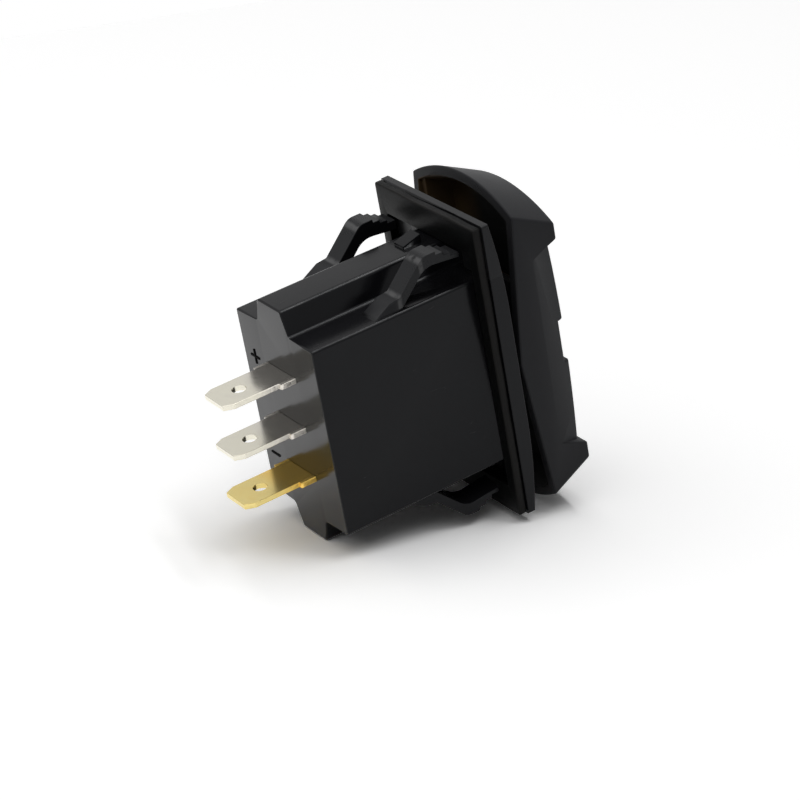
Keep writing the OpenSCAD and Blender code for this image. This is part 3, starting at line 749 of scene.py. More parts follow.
SIGN_BLACK = Plastic("sign_black", (0.003, 0.003, 0.003), 0.75, specular=0.05)
FRAME_BLACK = Plastic("frame_black", (0.005, 0.005, 0.0053), 0.6, specular=0.04)
DISPLAY_FACE = Plastic("display_face", (0.02, 0.02, 0.021), 0.45)
SEGMENT_RESIN = Plastic("segment_resin", (0.72, 0.66, 0.58), 0.4, clouds=0.06)
CHIP_EPOXY = Plastic("chip_epoxy", (0.011, 0.011, 0.012), 0.5, grain=0.12, depth=0.01)
TRIMMER_WHITE = Plastic("trimmer_white", (0.62, 0.61, 0.57), 0.42, clouds=0.05)
RESISTOR_GLAZE = Plastic("resistor_glaze", (0.015, 0.015, 0.017), 0.25)
PLUNGER_IVORY = Plastic("plunger_ivory", (0.62, 0.6, 0.53), 0.42, specular=0.4, clouds=0.06)
SOLDER_TIN = RolledMetal("solder_tin", (0.58, 0.58, 0.56), (0.34, 0.33, 0.31), 0.3, pitch=0.3)
SPRING_STEEL = RolledMetal("spring_steel", (0.46, 0.46, 0.47), (0.28, 0.27, 0.26), 0.3, pitch=0.2)
SPRING_BRASS = RolledMetal("spring_brass", (0.66, 0.5, 0.22), (0.42, 0.28, 0.1), 0.3, pitch=0.2)
CONTACT_SILVER = RolledMetal("contact_silver", (0.75, 0.74, 0.71), (0.42, 0.4, 0.37), 0.26, Axis.X)
BLADE_BRONZE = RolledMetal("blade_bronze", (0.6, 0.36, 0.17), (0.34, 0.18, 0.08), 0.32, Axis.Z)
TAB_TIN = TabMetal("tab_tin", (0.62, 0.595, 0.5), (0.6, 0.57, 0.52), film=0.13)
TAB_BRASS = TabMetal("tab_brass", (0.66, 0.55, 0.22), (0.8, 0.53, 0.115), film=0.22)


# Surfaces


@dataclass
class Surface:
    """A closed surface as a grid of points in millimetres, rows by columns by 3.

    The columns always close into loops. The rows close into a ring, or else the first and last row
    each fall into one point, which closes that end.
    """

    points: np.ndarray
    ring: bool = False

    def quads(self) -> np.ndarray:
        """The grid's faces: each joins a point to its neighbours along both parameters.

        Returns:
            The corner numbers, four to a row.
        """
        rows, columns = self.points.shape[:2]
        last = rows if self.ring else rows - 1
        i, j = np.meshgrid(np.arange(last), np.arange(columns), indexing="ij")
        row, next_row = i * columns, (i + 1) % rows * columns
        next_j = (j + 1) % columns
        corners = [row + j, next_row + j, next_row + next_j, row + next_j]
        return np.stack(corners, axis=-1).reshape(-1, 4)


def quarter_turn(points: int = 5) -> tuple[np.ndarray, np.ndarray]:
    """What the sine and the cosine leave short of 1 over a quarter turn, for a round edge."""
    turn = np.linspace(0.0, np.pi / 2, points)
    return 1 - np.sin(turn), 1 - np.cos(turn)


def softened(
    corners: np.ndarray, cut: float, steps: int = 5, leg_share: float = 0.45
) -> np.ndarray:
    """Rounds the inner corners of an open line.

    Each corner P becomes the curve (1-t)^2 A + 2t(1-t) P + t^2 B, where A and B lie on the two
    legs, the cut away from P, or less on a short leg.

    Args:
        corners: The line's points, one per row.
        cut: Length taken off each leg.
        steps: Points on each rounded corner.
        leg_share: The most that is taken off a leg, as a share of it.

    Returns:
        The points of the rounded line.
    """
    middle = corners[1:-1]
    back, ahead = corners[:-2] - middle, corners[2:] - middle
    back_len = np.linalg.norm(back, axis=1, keepdims=True)
    ahead_len = np.linalg.norm(ahead, axis=1, keepdims=True)
    start = middle + back / back_len * np.minimum(cut, leg_share * back_len)
    end = middle + ahead / ahead_len * np.minimum(cut, leg_share * ahead_len)
    t = np.linspace(0.0, 1.0, steps)[None, :, None]
    curve = (1 - t) ** 2 * start[:, None] + 2 * t * (1 - t) * middle[:, None] + t**2 * end[:, None]
    return np.concatenate([corners[:1], curve.reshape(-1, corners.shape[1]), corners[-1:]])


def lathe(profile: np.ndarray, x: float = 0.0, z: float = 0.0, sides: int = 48) -> Surface:
    """A profile turned about an axis along Y: (r, y) becomes (x + r cos a, y, z + r sin a).

    Args:
        profile: Radius and Y of each point, from pole to pole.
        x: Place of the axis.
        z: Place of the axis.
        sides: Points round the axis.

    Returns:
        The turned surface.
    """
    angle = np.linspace(0.0, 2.0 * np.pi, sides, endpoint=False)
    radius, level = profile[:, :1], profile[:, 1:] + np.zeros((1, sides))
    turned = [x + radius * np.cos(angle), level, z + radius * np.sin(angle)]
    return Surface(np.stack(turned, axis=-1))


def rectangle_loop(
    half_w: float, half_h: float, corner: float, side_points: int = 24, arc_points: int = 6
) -> np.ndarray:
    """A rectangle with round corners as one loop of points, equally many whatever its size.

    Each corner is an arc about a centre that lies the corner radius inside both sides, and each
    side joins the end of one arc to the start of the next by even steps.

    Args:
        half_w: Half its width, the first coordinate.
        half_h: Half its height, the second coordinate.
        corner: Corner radius.
        side_points: Steps along each side.
        arc_points: Steps round each corner.

    Returns:
        The loop's points, one per row, running from +X towards +Z.
    """
    angle = (np.arange(4)[:, None] + np.linspace(0.0, 1.0, arc_points + 1)[None, :]) * np.pi / 2
    sign_x = np.array([1, -1, -1, 1])[:, None]
    sign_y = np.array([1, 1, -1, -1])[:, None]
    arc_x = sign_x * (half_w - corner) + corner * np.cos(angle)
    arc_y = sign_y * (half_h - corner) + corner * np.sin(angle)
    arcs = np.stack([arc_x, arc_y], axis=-1)
    step = (np.arange(1, side_points) / side_points)[None, :, None]
    sides = arcs[:, -1:] * (1 - step) + np.roll(arcs, -1, axis=0)[:, :1] * step
    return np.concatenate([arcs, sides], axis=1).reshape(-1, 2)


def bar_loop(half_len: float, half_w: float) -> np.ndarray:
    """The outline of a minus sign: a bar with slightly round corners."""
    return rectangle_loop(half_len, half_w, corner=0.1, side_points=4, arc_points=3)


def cross_loop(half_len: float, half_w: float) -> np.ndarray:
    """The outline of a plus sign: three corners of one arm, turned by each quarter in its turn."""
    arm = np.array([(half_len, -half_w), (half_len, half_w), (half_w, half_w)])
    return np.concatenate([arm, arm[:, ::-1] * (-1, 1), -arm, arm[:, ::-1] * (1, -1)])


Outline = Callable[[float, float], np.ndarray]


def raised(
    outline: Outline, half: Span, centre: Span, base_y: float, height: float, share: float = 0.6
) -> Surface:
    """An outline raised along +Y with a rounded upper edge and closed above and below.

    The level climbs from below the base to the top while the outline is drawn in by an inset, which
    follows a quarter circle over the last part of the height; the first and last rows fall into the
    centre.

    Args:
        outline: Gives a loop about the centre for half a length and half a width.
        half: The half length and half width at the foot.
        centre: X and Z of the centre.
        base_y: Y of the face that it stands on.
        height: How far it stands out.
        share: Radius of the upper edge as a share of the height.

    Returns:
        The raised surface.
    """
    edge = share * height
    falling, rising = quarter_turn()
    insets = np.concatenate([[0.0], edge * rising])
    levels = np.concatenate([[base_y - height], base_y + height - edge * falling])
    loops = np.stack([outline(half[0] - inset, half[1] - inset) for inset in insets])
    middle = np.zeros_like(loops[:1])
    loops = np.concatenate([middle, loops, middle])
    levels = np.concatenate([levels[:1], levels, levels[-1:]])
    across, upward = loops[..., 0] + centre[0], loops[..., 1] + centre[1]
    return Surface(np.stack([across, np.broadcast_to(levels[:, None], across.shape), upward], -1))


def add_object(name: str, data: bpy.types.ID) -> bpy.types.Object:
    """Links a new object with that data into the scene.

    Args:
        name: Its name.
        data: Its mesh, lamp or camera.

    Returns:
        The object, at the origin.
    """
    made = bpy.data.objects.new(name, data)
    bpy.context.scene.collection.objects.link(made)
    return made


def smooth_object(name: str, mesh: bpy.types.Mesh) -> bpy.types.Object:
    """Links a new object whose faces are all shaded smooth."""
    mesh.polygons.foreach_set("use_smooth", np.ones(len(mesh.polygons), bool))
    return add_object(name, mesh)


def make_piece(name: str, *surfaces: Surface) -> bpy.types.Object:
    """Joins closed surfaces into one smooth mesh object.

    Args:
        name: The object's name.
        surfaces: Its surfaces.

    Returns:
        The object, at the origin.
    """
    sizes = [s.points.shape[0] * s.points.shape[1] for s in surfaces]
    starts = np.concatenate([[0], np.cumsum(sizes)[:-1]])
    points = np.concatenate([s.points.reshape(-1, 3) for s in surfaces]) * MM
    quads = np.concatenate([s.quads() + start for s, start in zip(surfaces, starts, strict=True)])
    mesh = bpy.data.meshes.new(name)
    mesh.from_pydata(points.tolist(), [], quads.tolist())
    work = bmesh.new()
    work.from_mesh(mesh)
    bmesh.ops.remove_doubles(work, verts=work.verts, dist=MERGE)
    bmesh.ops.dissolve_degenerate(work, edges=work.edges, dist=SLIVER)
    bmesh.ops.recalc_face_normals(work, faces=work.faces)
    work.to_mesh(mesh)
    work.free()
    mesh.set_sharp_from_angle(angle=np.radians(CREASE))
    return smooth_object(name, mesh)


def paint(piece: bpy.types.Object, material: bpy.types.Material) -> None:
    """Makes a material the only one of a piece."""
    piece.data.materials.clear()
    piece.data.materials.append(material)


def paint_solids(material: bpy.types.Material, *nodes: str) -> None:
    """Gives a finish to solids that show as they are.

    Args:
        material: The finish.
        nodes: The solids' names.
    """
    for node in nodes:
        paint(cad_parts[node], material)
        LOG.info("solid %s takes %s", node, material.name)


def dress(
    piece: bpy.types.Object,
    body: Body,
    slot: str,
    material: bpy.types.Material,
    *stands_for: str,
) -> None:
    """Gives a piece its finish and its body, and hides the solids that it stands for.

    Args:
        piece: The piece.
        body: The body that it rides on.
        slot: The record's material slot; not used.
        material: Its finish.
        stands_for: The solids that it replaces.
    """
    paint(piece, material)
    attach(piece, body.value)
    if stands_for:
        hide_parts(*stands_for)
    LOG.info("piece %s on %s, %d faces", piece.name, body.value, len(piece.data.polygons))


EdgeRule = Callable[[Vector, float], float]


def every_long_edge(middle: Vector, length: float) -> float:
    """The plain rule for soft edges: each one longer than half a millimetre is rounded fully."""
    return 1.0 if length > 0.5 else 0.0


@dataclass
class SoftCopy:
    """A merged copy of a solid whose outer edges are rounded.

    The rule takes an edge's middle and length in millimetres and gives the share of the full width,
    so that short edges and narrow forms stay crisp.
    """

    width: float
    rule: EdgeRule = every_long_edge
    segments: int = 3
    flat_angle: float = 0.3
    sharp_angle: float = 28.0
    merge: float = 1e-6

    def build(self, node: str, name: str) -> bpy.types.Object:
        """Copies a solid.

        Args:
            node: The solid's name.
            name: The copy's name.

        Returns:
            The copy, with live bevel and normal modifiers.
        """
        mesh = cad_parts[node].data.copy()
        mesh.name = name
        spare = mesh.attributes.get("custom_normal")
        if spare is not None:
            mesh.attributes.remove(spare)
        work = bmesh.new()
        work.from_mesh(mesh)
        bmesh.ops.remove_doubles(work, verts=work.verts, dist=self.merge)
        flat, sharp = np.radians((self.flat_angle, self.sharp_angle))
        bmesh.ops.dissolve_limit(work, angle_limit=flat, verts=work.verts, edges=work.edges)
        weight = work.edges.layers.float.new("bevel_weight_edge")
        for edge in work.edges:
            steep = edge.is_manifold and edge.calc_face_angle() > sharp
            if steep and edge.is_convex:
                middle = (edge.verts[0].co + edge.verts[1].co) / 2 / MM
                edge[weight] = self.rule(middle, edge.calc_length() / MM)
            edge.smooth = not steep or edge[weight] > 0
        work.to_mesh(mesh)
        work.free()
        copy = smooth_object(name, mesh)
        bevel = copy.modifiers.new("soft_edges", "BEVEL")
        bevel.limit_method = "WEIGHT"
        bevel.width = self.width * MM
        bevel.segments = self.segments
        bevel.use_clamp_overlap = False
        normals = copy.modifiers.new("flat_faces", "WEIGHTED_NORMAL")
        normals.keep_sharp = True
        return copy


# Sub-assemblies


@dataclass
class Housing:
    """The moulded body with its flange, ribs and snap legs, and the signs on its back."""

    edge: float = 0.5
    back_edge: float = 0.3
    flange_edge: float = 0.14
    leg_edge: float = 0.08
    wedge_edge: float = 0.1
    slot_edge: float = 0.06
    shortest: float = 0.5
    shortest_fine: float = 0.15
    back_from_y: float = BACK_Y - 0.5
    leg_x: float = 5.7
    leg_z: float = LEDGE_Z + 0.05
    wedge_z: float = 18.35
    slot_x: float = 3.9
    slot_z: float = LEDGE_Z - 2
    sign_x: float = 7.0
    sign_z: float = 7.85
    sign_len: float = 2.3
    sign_w: float = 0.34
    sign_rise: float = 0.14

    def edge_share(self, middle: Vector, length: float) -> float:
        """Share of the full rounding: small on legs and slots, less on the flange and the back.

        Args:
            middle: The edge's middle in millimetres.
            length: Its length in millimetres.

        Returns:
            The share from 0 to 1.
        """
        across, up = abs(middle.x), abs(middle.z)
        shortest = self.shortest
        if middle.y > 0 and up > self.leg_z and across > self.leg_x:
            width, shortest = self.leg_edge, self.shortest_fine
        elif middle.y > 0 and up > self.wedge_z:
            width, shortest = self.wedge_edge, self.shortest_fine
        elif across < self.slot_x and up < self.slot_z:
            width = self.slot_edge
        elif middle.y > self.back_from_y:
            width = self.back_edge
        else:
            width = self.flange_edge if middle.y < 0 else self.edge
        return width / self.edge if length > shortest else 0.0

    def sign(self, outline: Outline, z: float) -> Surface:
        """A raised sign on the back, beside the supply tab at that height."""
        half = (self.sign_len / 2, self.sign_w / 2)
        return raised(outline, half, (self.sign_x, z), BACK_Y, self.sign_rise)

    def build(self) -> None:
        """Builds and dresses the housing and its signs."""
        shell = SoftCopy(self.edge, self.edge_share).build("housing", "housing_shell")
        dress(shell, Body.HOUSING, "black_nylon", HousingNylon().material(), "housing")
        ink = SIGN_BLACK.material()
        for word, outline, side in (("plus", cross_loop, 1), ("minus", bar_loop, -1)):
            sign = make_piece(f"{word}_sign", self.sign(outline, side * self.sign_z))
            dress(sign, Body.HOUSING, "black_nylon", ink)


@dataclass
class PanelSeal:
    """The rubber gasket behind the flange: a rounded section carried round a rectangle."""

    half_w: float = 12.4
    half_h: float = 22.8
    corner: float = 0.4
    least_corner: float = 0.08
    hole_half_w: float = 10.25
    hole_half_h: float = 18.4
    hole_corner: float = 0.15
    thickness: float = 1.3
    rear_edge: float = 0.22
    front_edge: float = 0.5
    hole_edge: float = 0.12
    wave: float = 0.14

    def ring(self, inset: np.ndarray, level: np.ndarray, outer: bool) -> np.ndarray:
        """Loops of the section's points round the seal.

        Args:
            inset: How far each loop lies inside the outer outline, or outside the hole.
            level: Y of each loop.
            outer: Whether the loops follow the outer outline.

        Returns:
            Rows of loops, each loop a row of points.
        """
        if outer:
            sizes = [
                (self.half_w - d, self.half_h - d, max(self.corner - d, self.least_corner))
                for d in inset
            ]
        else:
            hole = (self.hole_half_w, self.hole_half_h, self.hole_corner)
            sizes = [tuple(size + d for size in hole) for d in inset]
        flat = np.stack([rectangle_loop(*size) for size in sizes])
        levels = np.broadcast_to(level[:, None], flat.shape[:2])
        return np.stack([flat[..., 0], levels, flat[..., 1]], axis=-1)

    def surface(self) -> Surface:
        """The seal's surface.

        The section runs down the outer wall, whose two edges are quarter circles, along the rear
        face, up the hole's wall and back along the front face. The outer wall is drawn in by two
        waves of the angle round the seal, as a cut edge is.

        Returns:
            The closed ring.
        """
        falling, rising = quarter_turn()
        front, rear, edge = -self.thickness, 0.0, self.hole_edge
        outer_in = np.concatenate([self.front_edge * falling, self.rear_edge * rising])
        outer_y = [front + self.front_edge * rising, rear - self.rear_edge * falling]
        hole_in = np.concatenate([edge * falling, edge * rising])
        hole_y = [rear - edge * rising, front + edge * falling]
        outer = self.ring(outer_in, np.concatenate(outer_y), True)
        angle = np.arctan2(outer[..., 2], outer[..., 0])
        pull = self.wave * (0.5 + 0.3 * np.sin(9 * angle + 1.0) + 0.2 * np.sin(23 * angle))
        outer[..., 0] *= 1 - pull / self.half_w
        outer[..., 2] *= 1 - pull / self.half_h
        hole = self.ring(hole_in, np.concatenate(hole_y), False)
        return Surface(np.concatenate([outer, hole]), ring=True)

    def build(self) -> None:
        """Builds and dresses the seal."""
        seal = make_piece("panel_seal", self.surface())
        dress(seal, Body.HOUSING, "seal_rubber", SealRubber().material(), "panel_gasket")


@dataclass
class Rocker:
    """The rocker's shell and the frame inside it that carries the trunnions and the plunger."""

    edge: float = 0.32
    shortest: float = 0.4
    inner_edge: float = 0.12
    inner_shortest: float = 0.5
    inner_x: float = 10.85
    inner_y: float = -10.9
    inner_z: float = 22.0
    window_x: float = 9.0
    window_z: float = 3.0
    frame_edge: float = 0.12

    def edge_share(self, middle: Vector, length: float) -> float:
        """Share of the full rounding for one edge of the shell: less at the window and inside.

        Args:
            middle: The edge's middle in millimetres.
            length: Its length in millimetres.

        Returns:
            The share from 0 to 1.
        """
        across, up = abs(middle.x), abs(middle.z)
        inside = across < self.inner_x and middle.y > self.inner_y and up < self.inner_z
        if inside or (across < self.window_x and up < self.window_z):
            return self.inner_edge / self.edge if length > self.inner_shortest else 0.0
        return 1.0 if length > self.shortest else 0.0

    def build(self) -> None:
        """Builds and dresses the shell and the frame."""
        soft = SoftCopy(self.edge, self.edge_share, segments=4)
        shell = soft.build("rocker_cap", "rocker_shell")
        dress(shell, Body.ROCKER, "rocker_black", RockerSatin().material(), "rocker_cap")
        carrier = SoftCopy(self.frame_edge, segments=2).build("actuator", "rocker_frame")
        dress(carrier, Body.ROCKER, "inner_black", FRAME_BLACK.material(), "actuator")


@dataclass
class Meter:
    """The voltmeter behind the rocker's window: solder on its board and finishes for its solids."""

    lead_pitch: float = 1.27
    solder_r: float = 0.34
    solder_h: float = 0.24
    solder_sink: float = 0.05
    solder_inset: float = 0.6
    solder_sides: int = 20
    board_y: float = -7.75

    def solder(self) -> list[Surface]:
        """A mound of solder at the end of each of the chip's leads.

        Each mound is a turned profile that rises from the board towards the front. Its radius goes
        as the root of 1 less the share of the height to the power 1.5, and its flat base lies a
        little inside the board.

        Returns:
            The mounds.
        """
        low, high = (np.array(corner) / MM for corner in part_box("meter_chip"))
        count = int((high[0] - low[0]) // self.lead_pitch)
        across = (low[0] + high[0]) / 2 + (np.arange(count) - (count - 1) / 2) * self.lead_pitch
        share = np.linspace(0.0, 1.0, 9)
        radius = self.solder_r * np.sqrt(1 - share**1.5)
        mound = np.stack([radius, self.board_y - self.solder_h * share], axis=1)
        profile = np.concatenate([[[0.0, self.board_y + self.solder_sink]], mound])
        inset = self.solder_r * self.solder_inset
        rows = (low[2] + inset, high[2] - inset)
        return [lathe(profile, x, z, self.solder_sides) for z in rows for x in across]

    def build(self) -> None:
        """Builds the solder and dresses the meter's solids."""
        solder = make_piece("lead_solder", *self.solder())
        dress(solder, Body.ROCKER, "can_metal", SOLDER_TIN.material())
        for finish, *nodes in (
            (SmokedLens(), "display_lens"),
            (DISPLAY_FACE, "display_module"),
            (SEGMENT_RESIN, "digit_segments"),
            (BoardLaminate(), "meter_board"),
            (CHIP_EPOXY, "meter_chip", "regulator"),
            (CanMetal(), "capacitor"),
            (TRIMMER_WHITE, "trimmer"),
            (RESISTOR_GLAZE, "chip_resistors"),
        ):
            paint_solids(finish.material(), *nodes)


@dataclass(frozen=True)
class Coil:
    """A compression spring along +Y with closed end turns."""

    outer_d: float
    wire: float
    length: float
    turns: int
    start: Point
    close_wires: float = 1.15
    turn_points: int = 40
    end_points: int = 6
    sides: int = 12

    def level(self, turn: np.ndarray) -> np.ndarray:
        """Height of the wire's middle: the end turns climb by little more than the wire.

        Args:
            turn: Turns from the start.

        Returns:
            The heights.
        """
        close = self.close_wires * self.wire
        ends = [0.0, 1.0, self.turns - 1.0, float(self.turns)]
        top = self.length - self.wire
        return self.wire / 2 + np.interp(turn, ends, [0.0, close, top - close, top])

    def surface(self) -> Surface:
        """The wire's surface.

        The wire's middle runs round a circle while it climbs; a circle of the wire's radius is
        carried along it, spanned by the outward direction and the one across both that and the
        path. At both ends the radius follows a quarter circle down to a point.

        Returns:
            The closed tube.
        """
        ring_r = (self.outer_d - self.wire) / 2
        lead_turn = self.wire / 2 / (2 * np.pi * ring_r)
        lead = np.linspace(0.0, np.pi / 2, self.end_points)
        rise, swell = lead_turn * (1 - np.cos(lead)), np.sin(lead)
        along = np.linspace(lead_turn, self.turns - lead_turn, self.turn_points * self.turns)
        turn = np.concatenate([rise[:-1], along, self.turns - rise[-2::-1]])
        wire_r = self.wire / 2 * np.concatenate([swell[:-1], np.ones(len(along)), swell[-2::-1]])
        angle = 2 * np.pi * turn
        outward = np.stack([np.cos(angle), np.zeros_like(angle), np.sin(angle)], axis=1)
        path = ring_r * outward
        path[:, 1] = self.level(turn)
        ahead = np.gradient(path, turn, axis=0)
        ahead /= np.linalg.norm(ahead, axis=1, keepdims=True)
        across = np.cross(ahead, outward)
        side = np.linspace(0.0, 2 * np.pi, self.sides, endpoint=False)[None, :, None]
        section = np.cos(side) * outward[:, None] + np.sin(side) * across[:, None]
        return Surface(path[:, None] + wire_r[:, None, None] * section + np.array(self.start))


@dataclass(frozen=True)
class Rivet:
    """A turned rivet along Y: a shank, then a head with a rounded rim."""

    shank_y: float
    seat_y: float
    face_y: float
    head_r: float = 1.5
    shank_r: float = 0.7
    rim: float = 0.2

    def surface(self, x: float, z: float) -> Surface:
        """The rivet's surface: its half section, with softened corners, turned about the axis.

        Args:
            x: Place of the axis.
            z: Place of the axis.

        Returns:
            The closed surface.
        """
        radius = [0.0, self.shank_r, self.shank_r, self.head_r, self.head_r, 0.0]
        level = np.repeat([self.shank_y, self.seat_y, self.face_y], 2)
        return lathe(softened(np.stack([radius, level], axis=1), self.rim), x, z)


@dataclass
class SwitchWorks:
    """The plunger with its spring, the contact blade, the contacts and the supply to the meter."""

    plunger_r: float = 1.92
    plunger_edge: float = 0.15
    plunger_foot_y: float = -0.55
    plunger_tip_y: float = 6.8
    spring: Coil = Coil(3.6, 0.4, 5.0, 6, (0.0, -5.55, 0.0))
    spring_keep: float = 0.8
    blade_edge: float = 0.08
    contact_z: float = 6.4
    moving: Rivet = Rivet(6.9, 7.7, 8.4)
    fixed: Rivet = Rivet(10.62, 9.82, 9.12)
    stud: Rivet = Rivet(-6.75, -5.55, -5.05, head_r=1.3)
    stud_x: float = 4.85
    feed_d: float = 2.2
    feed_wire: float = 0.35
    feed_len: float = 8.95
    feed_turns: int = 8
    feed_start_y: float = -4.75

    def plunger(self) -> Surface:
        """A turned pin with a half-round tip: its last part follows a quarter circle to the axis.

        Returns:
            The pin.
        """
        radius, foot_y = self.plunger_r, self.plunger_foot_y
        shoulder_y = self.plunger_tip_y - radius
        corners = np.array([[0.0, foot_y], [radius, foot_y], [radius, shoulder_y]])
        foot = softened(corners, self.plunger_edge)
        turn = np.linspace(0.0, np.pi / 2, 14)
        tip = np.stack([radius * np.cos(turn), shoulder_y + radius * np.sin(turn)], axis=1)
        tip[-1, 0] = 0.0
        return lathe(np.concatenate([foot[:-1], tip]))

    def build_plunger(self) -> None:
        """Builds and dresses the plunger and the spring that is squashed as it slides."""
        pin = make_piece("plunger_pin", self.plunger())
        dress(pin, Body.PLUNGER, "plunger_ivory", PLUNGER_IVORY.material(), "plunger")
        coil = make_piece("plunger_coil", self.spring.surface())
        dress(coil, Body.ROCKER, "spring_steel", SPRING_STEEL.material(), "plunger_spring")
        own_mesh(coil)

    def build_contacts(self) -> None:
        """Builds and dresses the blade and the two contacts."""
        blade = SoftCopy(self.blade_edge, segments=2).build("contact_blade", "rocking_blade")
        dress(blade, Body.BLADE, "blade_bronze", BLADE_BRONZE.material(), "contact_blade")
        silver = CONTACT_SILVER.material()
        for word, rivet, body in (
            ("moving", self.moving, Body.BLADE),
            ("fixed", self.fixed, Body.HOUSING),
        ):
            contact = make_piece(f"{word}_rivet", rivet.surface(0.0, self.contact_z))
            dress(contact, body, "contact_silver", silver, f"{word}_contact")

    def build_feeds(self) -> None:
        """Builds and dresses the stud and the spring of each supply."""
        brass = SPRING_BRASS.material()
        for side, word in ((1, "positive"), (-1, "ground")):
            x = side * self.stud_x
            stud = make_piece(f"stud_{word}", self.stud.surface(x, 0.0))
            dress(stud, Body.ROCKER, "stud_brass", brass, f"feed_stud_{word}")
            start = (x, self.feed_start_y, 0.0)
            feed = Coil(self.feed_d, self.feed_wire, self.feed_len, self.feed_turns, start)
            spring = make_piece(f"feed_coil_{word}", feed.surface())
            dress(spring, Body.HOUSING, "stud_brass", brass, f"feed_spring_{word}")

    def build(self) -> None:
        """Builds and dresses the works."""
        self.build_plunger()
        self.build_contacts()
        self.build_feeds()


@dataclass
class BladeTabs:
    """The three blade terminals: two tinned and one of bare brass."""

    edge: float = 0.1
    shortest: float = 0.5
    shoulder_round: float = 0.5
    shoulder_x: float = 3.7
    shoulder_y: float = BACK_Y + 0.5
    corner_len: float = 1.0

    def edge_share(self, middle: Vector, length: float) -> float:
        """Share of the full rounding: all of it at the shoulders' short corners, else little.

        Args:
            middle: The edge's middle in millimetres.
            length: Its length in millimetres.

        Returns:
            The share from 0 to 1.
        """
        outside = abs(middle.x) > self.shoulder_x and middle.y > self.shoulder_y
        if outside and length < self.corner_len:
            return 1.0
        return self.edge / self.shoulder_round if length > self.shortest else 0.0

    def build(self) -> None:
        """Builds and dresses the terminals."""
        soft = SoftCopy(self.shoulder_round, self.edge_share)
        for slot, finish, *words in (
            ("tab_tin", TAB_TIN, "line", "load"),
            ("tab_brass", TAB_BRASS, "ground"),
        ):
            metal = finish.material()
            for word in words:
                tab = soft.build(f"{word}_terminal", f"{word}_tab")
                dress(tab, Body.HOUSING, slot, metal, f"{word}_terminal")


# Studio


@dataclass(frozen=True)
class Lamp:
    """A flat soft lamp aimed at the part: its place and size in metres, its power in watts."""

    name: str
    at: Point
    size: Span
    power: float

    def build(self) -> None:
        """Hangs the lamp, unseen by the camera."""
        data = bpy.data.lights.new(self.name, "AREA")
        data.shape = "RECTANGLE"
        data.size, data.size_y = self.size
        data.energy = self.power
        lamp = add_object(self.name, data)
        lamp.location = self.at
        lamp.rotation_mode = "QUATERNION"
        lamp.rotation_quaternion = Vector(self.at).to_track_quat("Z", "Y")
        lamp.visible_camera = False


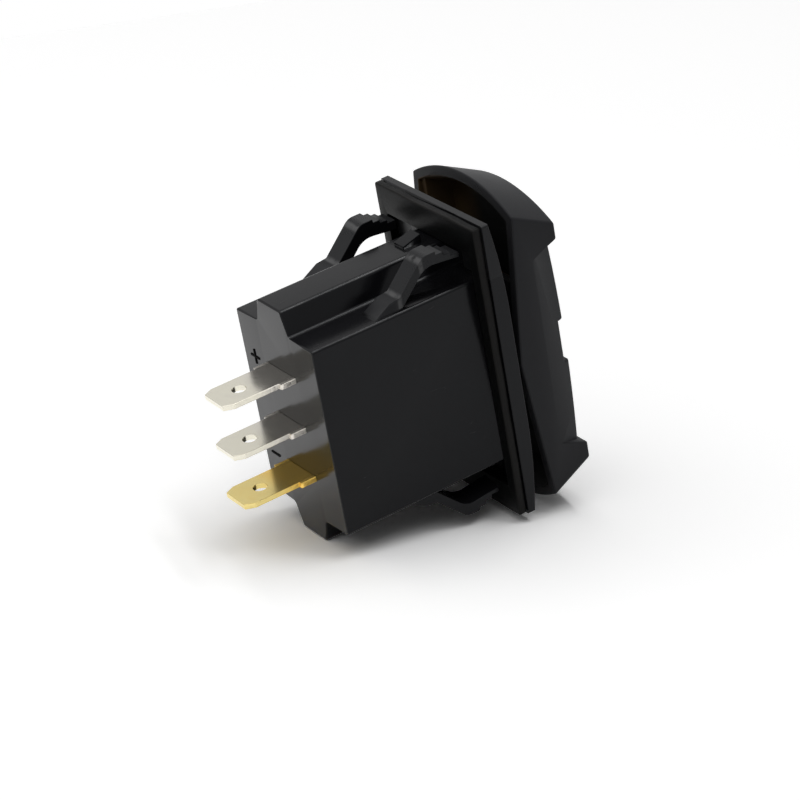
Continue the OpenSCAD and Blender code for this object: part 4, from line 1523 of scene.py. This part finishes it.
@dataclass
class Studio:
    """A pale floor under the tilted part, a white surround, soft lamps and the camera."""

    floor_z: float = -18.27
    floor_slope: float = 0.218
    floor_half_x: float = 260.0
    floor_front: float = -320.0
    floor_rear: float = 100.0
    floor_colour: float = 0.4
    floor_seen: float = 1.25
    floor_gloss: float = 1.85
    ambient: float = 0.15
    overhead: Lamp = Lamp("overhead", (0.0, 0.15, 1.3), (2.2, 2.2), 17.0)
    strip: Lamp = Lamp("front_strip", (-0.15, -0.61, 1.3), (1.1, 0.12), 4.6)
    camera_at: Point = (-323.787, 183.858, 194.489)
    right: Point = (-0.544024, -0.823251, -0.162159)
    down: Point = (-0.323353, 0.384031, -0.864848)
    ahead: Point = (0.774262, -0.418064, -0.475123)
    focal_px: float = 2968.1
    frame_px: float = 800.0
    sensor: float = 36.0
    clip: Span = (0.01, 10.0)

    def floor_material(self) -> bpy.types.Material:
        """A pale matt floor, lighter when seen directly and lightest in gloss; clear from below.

        Returns:
            The material.
        """
        s = Shader("studio_floor")
        shades = (self.floor_colour, self.floor_seen, self.floor_gloss)
        matt_grey, seen_grey, gloss_grey = ((shade,) * 3 for shade in shades)
        gloss = s.node("ShaderNodeLightPath").out("Is Glossy Ray")
        pale = s.blend(s.seen_directly(), matt_grey, s.blend(gloss, seen_grey, gloss_grey))
        matt = s.node("ShaderNodeBsdfDiffuse", sockets={"Color": pale})
        below = s.node("ShaderNodeNewGeometry").out("Backfacing")
        clear = s.node("ShaderNodeBsdfTransparent")
        return s.end(s.node("ShaderNodeMixShader", sockets={0: below, 1: matt, 2: clear}))

    def floor(self) -> None:
        """A flat floor: Z rises in proportion to Y from the edge that the part rests on."""
        x = np.array([-1, 1, 1, -1]) * self.floor_half_x
        y = np.repeat([self.floor_front, self.floor_rear], 2)
        z = self.floor_z + self.floor_slope * (y - BACK_Y)
        corners = np.stack([x, y, z], axis=1) * MM
        mesh = bpy.data.meshes.new("studio_floor")
        mesh.from_pydata(corners.tolist(), [], [(0, 1, 2, 3)])
        mesh.materials.append(self.floor_material())
        add_object("studio_floor", mesh)

    def surround(self) -> None:
        """A white surround as the camera and gloss see it, dimmer as a light on matt surfaces."""
        s = Shader(bpy.data.worlds.new("studio"))
        light, white = (
            s.node("ShaderNodeBackground", sockets={"Color": WHITE, "Strength": strength})
            for strength in (self.ambient, 1.0)
        )
        mix = s.node("ShaderNodeMixShader", sockets={0: s.seen_directly(), 1: light, 2: white})
        bpy.context.scene.world = s.end(mix)

    def camera(self) -> None:
        """The camera at the photograph's place; its lens is worked out from a length in pixels."""
        data = bpy.data.cameras.new("camera")
        data.sensor_width = self.sensor
        data.lens = self.focal_px / self.frame_px * self.sensor
        data.clip_start, data.clip_end = self.clip
        turned = [Vector(self.right), -Vector(self.down), -Vector(self.ahead)]
        columns = [c.to_4d() for c in (*turned, Vector(self.camera_at) * MM)]
        placed = Matrix(columns).transposed()
        placed[3] = (0.0, 0.0, 0.0, 1.0)
        cam = add_object("camera", data)
        cam.matrix_world = placed
        bpy.context.scene.camera = cam

    def build(self) -> None:
        """Builds the floor, the surround, the lamps and the camera."""
        self.floor()
        self.surround()
        self.overhead.build()
        self.strip.build()
        self.camera()
        bpy.context.scene.view_settings.view_transform = "Standard"


def main() -> None:
    """Builds the sub-assemblies in order, then the studio."""
    logging.basicConfig(level=logging.INFO, format="%(message)s")
    for part in (Housing(), PanelSeal(), Rocker(), Meter(), SwitchWorks(), BladeTabs(), Studio()):
        part.build()
        LOG.info("%s is done", type(part).__name__)


if __name__ == "__main__":
    main()
